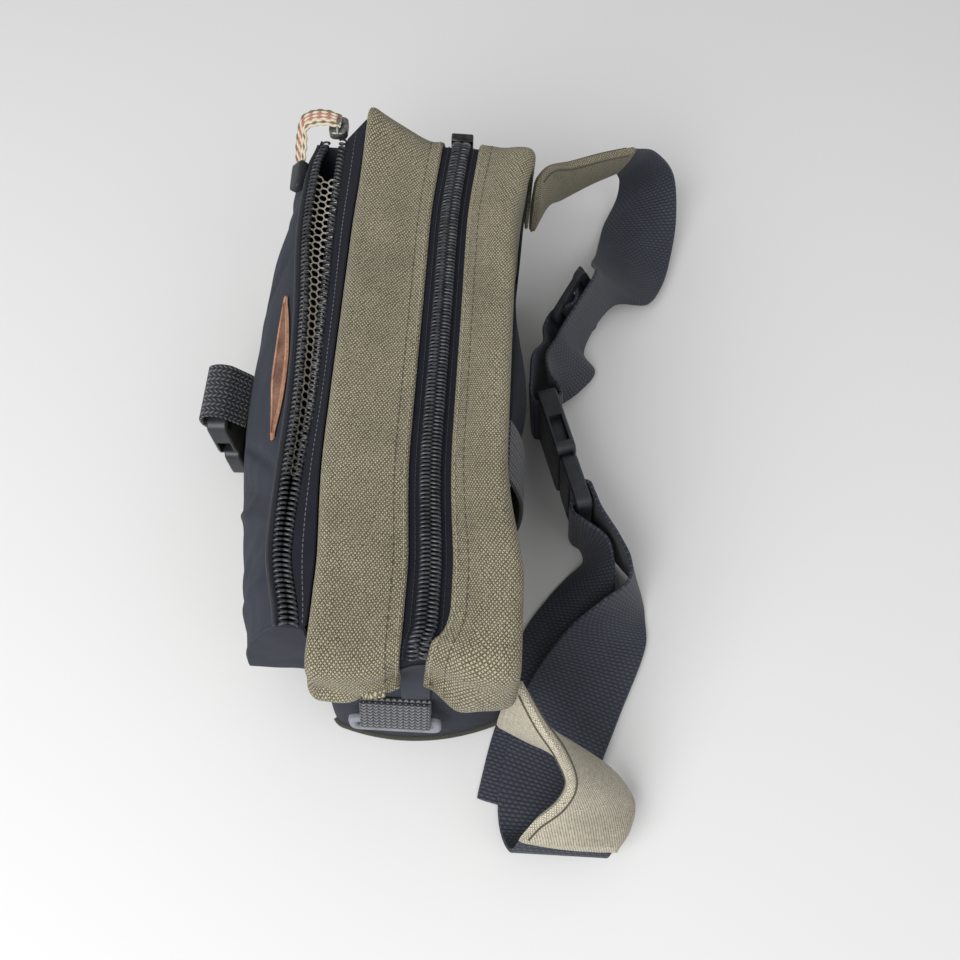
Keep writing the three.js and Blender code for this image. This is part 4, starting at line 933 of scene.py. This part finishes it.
def makeNet():
    side = net["side"]
    x = np.arange(net["nearX"], net["farX"], -side * math.sqrt(3) / 2)
    zigzag = side / 4 * np.where(np.arange(len(x)) % 2, 1, -1)
    paths = []
    for row in range(int(net["depth"] / (1.5 * side))):
        line = row * 1.5 * side + zigzag * (-1) ** row + side / 2
        paths.append(netPoint(x, line / net["depth"]))
        below = line + side * 0.999
        for k in range(row % 2 == 0, len(x), 2):
            paths.append(netPoint(x[[k, k]], np.array([line[k], below[k]]) / net["depth"]))
    rods("pocket_mesh", paths, net["yarn"], "net", "net", "pocket_mesh")


makeNet()

# Label: a long pointed oval with a raised border, left bare
label = dict(x=-6.5, length=65, v=0.125, halfHeight=0.078, tip=0.015, curve=1.9, lift=0.4, thickness=0.9,
             border=0.55, borderFrom=0.8, slope=0.1, tipBorder=(0.8, 0.97), roundFrom=0.94, roundOff=0.7,
             paleBefore=0.04, steps=(90, 31))


def makeLabel():
    along, wide = label["steps"]
    u = np.linspace(0, 1, along)[:, None]
    t = np.sin(np.linspace(-np.pi / 2, np.pi / 2, wide))[None]
    out = np.abs(2 * u - 1)
    reach = np.maximum(label["tip"], label["halfHeight"] * (1 - out ** label["curve"]))
    x = label["x"] + (u - 0.5) * label["length"]
    grid = pocketTop(x + 0 * t, label["v"] + reach * t)
    rim = np.maximum(np.abs(t), smooth(out, *label["tipBorder"]))
    raised = smooth(rim, label["borderFrom"] - label["slope"], label["borderFrom"])
    raised = raised * (1 - label["roundOff"] * smooth(rim, label["roundFrom"], 1))
    over = label["lift"] + label["thickness"] + label["border"] * raised
    points, faces, uvs = slab(grid, over, -label["lift"], pocket["inside"])
    middle = (rim[:-1, :-1] + rim[1:, 1:]) / 2
    pale = np.ones(len(faces), int)
    pale[:middle.size] = middle.ravel() > label["borderFrom"] - label["paleBefore"]
    place(addMesh("label", points, faces, ["leather", "leatherEdge"], uvs, pale), "label_leather", "label")


makeLabel()
print("net and label in place")

# Moulded and cast pieces keep the solids' shapes, with their edges rounded
rounding = dict(join=2e-6, flat=2, edge=28, segments=3, profile=0.6, sharp=50)


def roundedCopy(node, kind, slotName, bevel, body="root"):
    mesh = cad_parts[node].data.copy()
    work = bmesh.new()
    work.from_mesh(mesh)
    bmesh.ops.remove_doubles(work, verts=work.verts, dist=rounding["join"])
    flat, sharp = math.radians(rounding["flat"]), math.radians(rounding["edge"])
    bmesh.ops.dissolve_limit(work, angle_limit=flat, verts=work.verts, edges=work.edges)
    edges = [e for e in work.edges if len(e.link_faces) == 2 and e.calc_face_angle() > sharp]
    bmesh.ops.bevel(work, geom=edges, offset=bevel * mm, segments=rounding["segments"],
                    profile=rounding["profile"], affect="EDGES", clamp_overlap=True)
    work.to_mesh(mesh)
    work.free()
    mesh.materials.clear()
    finishMesh(mesh, [kind], rounding["sharp"])
    return place(addObject(node + "_rounded", mesh), slotName, node, body=body)


# A turned place for a buckle or slider, with rows of webbing laid out from its middle


def seat(centre, along, lean):
    x = unit(np.array(along, float))
    y = unit(np.array(lean, float) - np.dot(lean, x) * x)
    return {"centre": np.array(centre, float), "x": x, "y": y, "z": np.cross(x, y)}


def spot(at, forward, side, off):
    return at["centre"] + forward * at["x"] + side * at["y"] + off * at["z"]


def seatRows(at, width, *rows):
    half = width / 2
    return [(spot(at, forward, half, off), spot(at, forward, -half, off)) for forward, off in rows]


# Sliders of both zips, with the bridge that holds a pull
sliders = dict(bevel=0.8, z=86, lift=3.4, rise=2.4, pocketFoot=(-118.5, -49.6, 104.2), wire=0.9)
mainBridge = [(-4, 0), (-3, 0.7), (-1.5, 1), (0, 1), (1.5, 1), (3, 0.7), (4, 0)]
pocketBridge = [(-4.5, 0), (-3.6, 1.3), (-2, 2), (0, 2.2), (2, 2), (3.6, 1.3), (4.5, 0)]


def makeSliders():
    for node, kind in (("main_zip_slider", "darkMetal"), ("pocket_slider", "metal")):
        roundedCopy(node, kind, "slider_metal", sliders["bevel"])
    along, rise = np.array(mainBridge).T
    s = 1 - nearEndAt(sliders["z"]) + along / skin["total"]
    path = skinPoint(s, strips["zipY"], -sliders["lift"] - rise * sliders["rise"])
    reach, high = np.array(pocketBridge).T
    bridges = [path, xyz(reach, 0, high) + sliders["pocketFoot"]]
    rods("slider_bridges", bridges, sliders["wire"], "metal", "slider_metal", sides=8)


makeSliders()

# Braided pull of the pocket slider and its moulded tip
pull = dict(radius=0.62, weave=4.4, swing=0.3, steps=16, sides=7, tipBevel=1.1,
            order=("olive", "cream", "red", "cream", "red", "cream", "cream", "olive", "cream"))
pullRows = [
    ((-122, -48.5, 106), (-115.5, -48.5, 106)),
    ((-123.5, -54, 107), (-116.5, -54, 106)),
    ((-125, -60, 105.5), (-118, -60, 103.5)),
    ((-124.5, -66, 102), (-118, -64, 100.5)),
    ((-116, -68.2, 96.3), (-114, -63.6, 98.6)),
    ((-107.5, -67.9, 90.4), (-106.3, -63.9, 95.2)),
]


def makePull():
    grid = ribbonGrid(pullRows, pull["steps"], len(pull["order"]) * 2)
    normals = gridNormals(grid)
    names = ["cream", "red", "olive"]
    strands, kinds = [], []
    for k, colour in enumerate(pull["order"]):
        line, up = grid[:, 2 * k + 1], normals[:, 2 * k + 1]
        swing = np.sin(2 * np.pi * lineLength(line) / pull["weave"] + np.pi * k)[:, None]
        strands.append(line + up * pull["swing"] * swing)
        kinds += [names.index(colour)] * ((len(line) - 1) * pull["sides"] + 2)
    points, faces = tubes(strands, pull["radius"], pull["sides"])
    place(addMesh("zip_pull", points, faces, names, None, kinds, 60), "pull_braid", "zip_pull")
    roundedCopy("zip_pull_tip", "plastic", "black_plastic", pull["tipBevel"])


makePull()
print("sliders and pull made")

# Belt: two halves of wide webbing through the buckle and the three-bar slider, and a cut tail
belt = dict(width=38, thickness=1.6, steps=12, across=16, thread=0.22, threadSteps=30, bevel=0.8)
buckleSeat = seat((-2.8, 58, 22.9), (63, 20, 0), (0, -0.12, 0.993))
glideSeat = seat((-85, 64, 27.2), (0.78, -0.48, -0.4), (0.235, -0.368, 0.9))


def buckleRows(*rows):
    return seatRows(buckleSeat, belt["width"], *rows)


def glideRows(*rows):
    return seatRows(glideSeat, belt["width"], *rows)


beltRows = {
    "belt_far": [
        ((-174.5, 83.1, 28.8), (-157.4, 86.7, 61.7)),
        ((-178, 87, 17), (-168, 99, 50)),
        ((-175, 87, 6), (-171, 112, 32)),
        ((-161, 81, 2), (-156, 116, 17)),
        ((-147, 78, 4), (-137, 114, 10)),
        ((-132, 75, 12), (-118, 109, 8)),
        ((-112, 70, 30), (-105, 101, 9)),
        *glideRows((-14, -5.3), (14, -5.3)),
        ((-61, 52, 38.5), (-63.5, 74, 6.5)),
        ((-51, 47.5, 39.5), (-52, 66, 6)),
        *buckleRows((-37, -4.5), (-31, -6.4), (-26.4, -6.2), (-25.1, -3)),
        *buckleRows((-25.1, 3), (-26.4, 6.2), (-31, 6.4), (-37, 4.5)),
        ((-51, 41.5, 39.5), (-53, 55, 3.5)),
        ((-60.5, 46.5, 36.5), (-65.5, 64.5, 3.5)),
        *glideRows((18, 2.6), (9.6, 3.2), (5.6, 0), (1.6, -3.2)),
        *glideRows((-1.6, -3.2), (-5.6, 0), (-9.6, 3.2), (-15, 3.2)),
    ],
    "belt_near": [
        *buckleRows((17.5, -0.2), (17.5, -3.2), (18.9, -5.3), (23, -5.8), (31, -6.4)),
        ((37.2, 79.6, 39.5), (36, 86, 2.4)),
        ((47.5, 84.2, 39), (45, 93.2, 2.2)),
        ((55.5, 84, 36.5), (54, 95.8, 2)),
        ((63.3, 73.4, 28), (62, 96.5, 2)),
        ((72.3, 61, 14), (73, 96.5, 3.6)),
        ((95, 45.5, 4.4), (107, 83.5, 3.5)),
        ((124, 37, 3.1), (135.5, 73.2, 3.1)),
        ((142, 35, 3.1), (146, 73, 3.1)),
        ((154, 36.5, 3.1), (154, 74.5, 3.1)),
        ((161.5, 40, 11), (161.5, 78, 9)),
        ((155.6, 44.5, 22.6), (156.4, 81, 14.9)),
    ],
    "belt_tail": [
        *buckleRows((25.1, 0.2), (25.1, 3.2), (26.6, 5.3), (30.5, 5.2), (34.5, 2.5)),
        ((37.5, 75, 37), (35.5, 70, 1.8)),
        ((46, 79, 29), (44, 62.5, 1.6)),
        ((57, 80.5, 16), (54, 54, 1.4)),
        ((71, 79.5, 5), (66.5, 45.5, 1.2)),
        ((83, 78, 1.5), (76.5, 41.5, 1.1)),
        ((104, 74.5, 1.1), (96, 37.4, 1.1)),
        ((128, 68, 1.1), (119, 31, 1.1)),
        ((149.5, 63.5, 1.1), (141, 26.5, 1.1)),
    ],
}
tailThread = [(149.5, 63.5, 1.3), (151.5, 65, 1.2), (153.5, 64.6, 1.6), (155, 66.5, 2.2), (157.5, 66.2, 1.0)]


def webbing(name, rows, kind, slotName, steps, turned=False):
    grid = ribbonGrid(rows, steps, belt["across"])
    grid = grid.transpose(1, 0, 2) if turned else grid
    half = belt["thickness"] / 2
    sheet(name, grid, kind, slotName, over=half, under=half)


def makeBelt():
    for name, rows in beltRows.items():
        webbing(name, rows, "belt", "black_webbing", belt["steps"])
    thread = curveAt(tailThread, np.linspace(0, 1, belt["threadSteps"]))
    rods("tail_thread", [thread], belt["thread"], "blackThread", "black_webbing")
    for node in ("buckle_female", "buckle_male", "belt_slider"):
        roundedCopy(node, "plastic", "black_plastic", belt["bevel"])


makeBelt()
print("belt threaded")

# Rings on folded tabs at both ends
ring = dict(x=120.7, tabY=-7, z=50, hole=2.25, wall=1.4, tabWidth=25, topX=115.9, topZ=64, topThickness=2.9,
            spare=0.03, turnSteps=15, upSteps=9, across=19, bevel=0.5)


def makeTab(end, sign):
    half = ring["wall"] / 2
    turn = np.linspace(np.pi, 2 * np.pi, ring["turnSteps"])
    circle = np.stack([np.cos(turn), np.sin(turn)], -1)
    arc = np.array([ring["x"], ring["z"]]) + (ring["hole"] + half) * circle
    up = np.linspace(1, 0, ring["upSteps"])[:-1, None]
    start = np.array([ring["topX"] + half, ring["topZ"]])
    stop = np.array([ring["topX"] + ring["topThickness"] - half, ring["topZ"]])
    path = np.vstack([arc[0] + up * (start - arc[0]), arc, (arc[-1] + up * (stop - arc[-1]))[::-1]])
    y = ring["tabY"] + np.linspace(-0.5, 0.5, ring["across"]) * ring["tabWidth"]
    grid = xyz(sign * path[None, :, 0], y[:, None], path[None, :, 1])
    thick = half - ring["spare"]
    sheet("ring_tab_" + end, grid, "chevron", "grey_webbing", over=thick, under=thick)
    roundedCopy("ring_" + end, "greyPlastic", "grey_plastic", ring["bevel"], "ring_" + end)


makeTab("near", 1)
makeTab("far", -1)

# Front strap with its small buckle, and the loop on the back
strap = dict(nearX=-3.2, farX=-28.2, width=25, steps=8, bevel=0.6,
             arch=[(-83.8, 42), (-88.2, 46), (-92.5, 49.4), (-97.5, 50), (-101.2, 48)])
frontSeat = seat((-13.5, -93, 24.5), (0.08, 0.1, -0.99), (1, 0, 0))
backLoop = dict(farX=12.6, nearX=37,
                arch=[(90, 1.4), (80, 4.5), (64, 7.5), (40, 7.5), (24, 4.5), (13, 1.4)])


def frontRows(*rows):
    return seatRows(frontSeat, strap["width"], *rows)


def loopRow(z, off):
    x = np.array((backLoop["farX"] + backLoop["nearX"]) / 2)
    y = float(panelY(x, np.array(float(z)), panels["backBulge"]) - bowAt(x)) + off
    return (backLoop["farX"], y, z), (backLoop["nearX"], y, z)


def makeStraps():
    upper = [((strap["nearX"], y, z), (strap["farX"], y, z)) for y, z in strap["arch"]]
    upper += frontRows((-20, 6.7), (-17.2, 5.9), (-16.1, 3), (-16.1, -0.5))
    lower = frontRows((16.1, 0.2), (16.1, -3), (17.8, -5.2))
    lower += [((0.5, -82, 5), (-24.5, -81.8, 4.6)), ((0.5, -77.8, 3.3), (-24.5, -78.2, 3.3))]
    for name, rows in (("front_strap", upper), ("front_strap_lower", lower)):
        webbing(name, rows, "greyTab", "grey_webbing", strap["steps"], turned=True)
    for node in ("front_buckle_female", "front_buckle_male"):
        roundedCopy(node, "plastic", "black_plastic", strap["bevel"])
    loop = [loopRow(z, off) for z, off in backLoop["arch"]]
    webbing("back_loop", loop, "greyTab", "grey_webbing", strap["steps"], turned=True)


makeStraps()
print("straps and rings hung")

# Padded pieces: the swell is in the mesh, and the cloth simulation after it adds less than 0.2 mm
padding = dict(pressure=4.0, frames=20, stiffness=12.0, cap=1.2)


def inflate(piece, held):  # held is 1 on the sewn edge and 0 where the cloth is free
    scene = bpy.context.scene
    rest = np.array([v.co for v in piece.data.vertices])
    group = piece.vertex_groups.new(name="sewn")
    for k, weight in enumerate(held):
        group.add([k], float(weight), "REPLACE")
    cloth = piece.modifiers.new("padding", "CLOTH")
    settings = cloth.settings
    settings.use_pressure = True
    settings.uniform_pressure_force = padding["pressure"]
    settings.vertex_group_mass = "sewn"
    settings.tension_stiffness = padding["stiffness"]
    settings.compression_stiffness = padding["stiffness"]
    settings.effector_weights.gravity = 0
    cloth.point_cache.frame_start = 1
    cloth.point_cache.frame_end = padding["frames"]
    for step in range(1, padding["frames"] + 1):
        scene.frame_set(step)
    blown = piece.evaluated_get(bpy.context.evaluated_depsgraph_get()).to_mesh()
    moved = np.array([v.co for v in blown.vertices]) - rest
    piece.modifiers.remove(cloth)
    length = np.linalg.norm(moved, axis=1, keepdims=True)
    moved = moved * np.minimum(1, padding["cap"] * mm / np.maximum(length, 1e-9))
    piece.data.vertices.foreach_set("co", (rest + moved).ravel())
    piece.data.update()
    scene.frame_set(1)
    print(piece.name, "blown up by at most", round(float(length.max()) / mm, 2), "mm")


wings = dict(edge=3, steps=(10, 28), taper=(0.06, 0.86), roundAlong=0.5, roundAcross=0.6, held=(0.12, 0.1),
             seam=0.4, seamLift=0.1)
wingRows = {
    "wing_far": [
        ((-111, 37.9, 86), (-110, 37.9, 55)),
        ((-122, 43.5, 83), (-124, 43.5, 55)),
        ((-135, 55, 73), (-145, 53, 39)),
        ((-147, 70.5, 67), (-161, 68.5, 34)),
        ((-157, 86, 62), (-174, 82.5, 29)),
    ],
    "wing_near": [
        ((108, 37.8, 64), (117.5, 32.5, 34)),
        ((121, 46, 60), (121, 46, 26)),
        ((131, 54, 55), (123.5, 64, 19)),
        ((140, 58.5, 47), (131, 81, 11)),
        ((146.5, 55.5, 38), (141, 88.5, 10)),
        ((152.5, 48, 30.5), (152.5, 85, 17)),
        ((158.5, 43, 25), (160, 79.5, 20.5)),
    ],
}


def makeWing(name, middle, kind):
    grid = ribbonGrid(wingRows[name], *wings["steps"])
    n, m = grid.shape[:2]
    i, j = np.arange(n)[:, None] / (n - 1), np.arange(m)[None] / (m - 1)
    start, run = wings["taper"]
    swell = np.sin(np.pi * (start + run * i)) ** wings["roundAlong"]
    swell = swell * np.sin(np.pi * j) ** wings["roundAcross"]
    half = (wings["edge"] + (middle - wings["edge"]) * swell) / 2
    points, faces, uvs = slab(grid, half, half)
    piece = addMesh(name, points, faces, [kind], uvs)
    free = (awayFromEnds(i, wings["held"][0]) * awayFromEnds(j, wings["held"][1])).ravel()
    inflate(piece, np.concatenate([1 - free, 1 - free, np.ones(len(points) - 2 * n * m)]))
    place(piece, "khaki_canvas", name)
    # dark lines along the wing's rim on both faces, painted shade in the seam between its layers
    lift = gridNormals(grid)[2:-2, 1] * (half[2:-2, 1:2] + wings["seamLift"])
    seams = [grid[2:-2, 1] + side * lift for side in (-1, 1)]
    rods(name + "_seams", seams, wings["seam"], "seamShade", "khaki_canvas", sides=6)


makeWing("wing_far", middle=6, kind="khaki")
# the near wing takes the paler canvas: painted light on the wing that faces the lamps
makeWing("wing_near", middle=9, kind="nearWingLit")

pad = dict(farX=-56, nearX=11, lowZ=16, highZ=84, edge=2, rise=6.5, riseFrom=0.15, riseRun=0.92, round=0.7,
           steps=50, held=0.1)


def makePad():
    u, v = np.linspace(0, 1, pad["steps"])[:, None], np.linspace(0, 1, pad["steps"])[None]
    x = pad["farX"] + u * (pad["nearX"] - pad["farX"])
    z = pad["lowZ"] + v * (pad["highZ"] - pad["lowZ"])
    grid = xyz(x, panelY(x, z, panels["backBulge"]) - bowAt(x) + bag["gap"], z)
    along = np.clip((u - pad["riseFrom"]) / pad["riseRun"], 0, 1)
    swell = np.sin(np.pi * along) * np.sin(np.pi * v) ** pad["round"]
    points, faces, uvs = slab(grid, pad["edge"] + pad["rise"] * swell, 0, bodyCentre)
    piece = addMesh("back_pad", points, faces, ["tape"], uvs)
    free = (awayFromEnds(u, pad["held"]) * awayFromEnds(v, pad["held"])).ravel()
    inflate(piece, np.concatenate([1 - free, np.ones(len(points) - free.size)]))
    place(piece, "black_nylon", "back_pad")


makePad()
print("wings and back pad filled")

# Studio: pale floor, two large soft lights from above the near end, and even light all round, in metres
studio = dict(floor=3.0, floorGrey=0.66, worldGrey=0.54, lightSize=1.0, target=(0, 0, 0.05),
              lights={"key": (15.5, (0.72, -0.5, 0.84)), "fill": (2.2, (0.5, 0.7, 0.9))})


def makeStudio():
    half = studio["floor"] / 2
    corners = [(-half, -half, 0), (half, -half, 0), (half, half, 0), (-half, half, 0)]
    mesh = bpy.data.meshes.new("floor")
    mesh.from_pydata(corners, [], [[0, 1, 2, 3]])
    finish, _, shader = newFinish("floor", roughness=0.9, specular=0.1)
    shader.inputs["Base Color"].default_value = (*[studio["floorGrey"]] * 3, 1)
    mesh.materials.append(finish)
    floor = addObject("floor", mesh)
    for name, (energy, where) in studio["lights"].items():
        light = bpy.data.lights.new(name, "AREA")
        light.energy = energy
        light.shape = "DISK"
        light.size = studio["lightSize"]
        lamp = addObject(name, light)
        lamp.location = where
        lamp.rotation_euler = (Vector(studio["target"]) - lamp.location).to_track_quat("-Z", "Y").to_euler()
    world = bpy.data.worlds.new("studio")
    world.use_nodes = True
    world.node_tree.nodes["Background"].inputs["Color"].default_value = (*[studio["worldGrey"]] * 3, 1)
    bpy.context.scene.world = world
    bpy.context.scene.view_settings.view_transform = "Standard"


makeStudio()
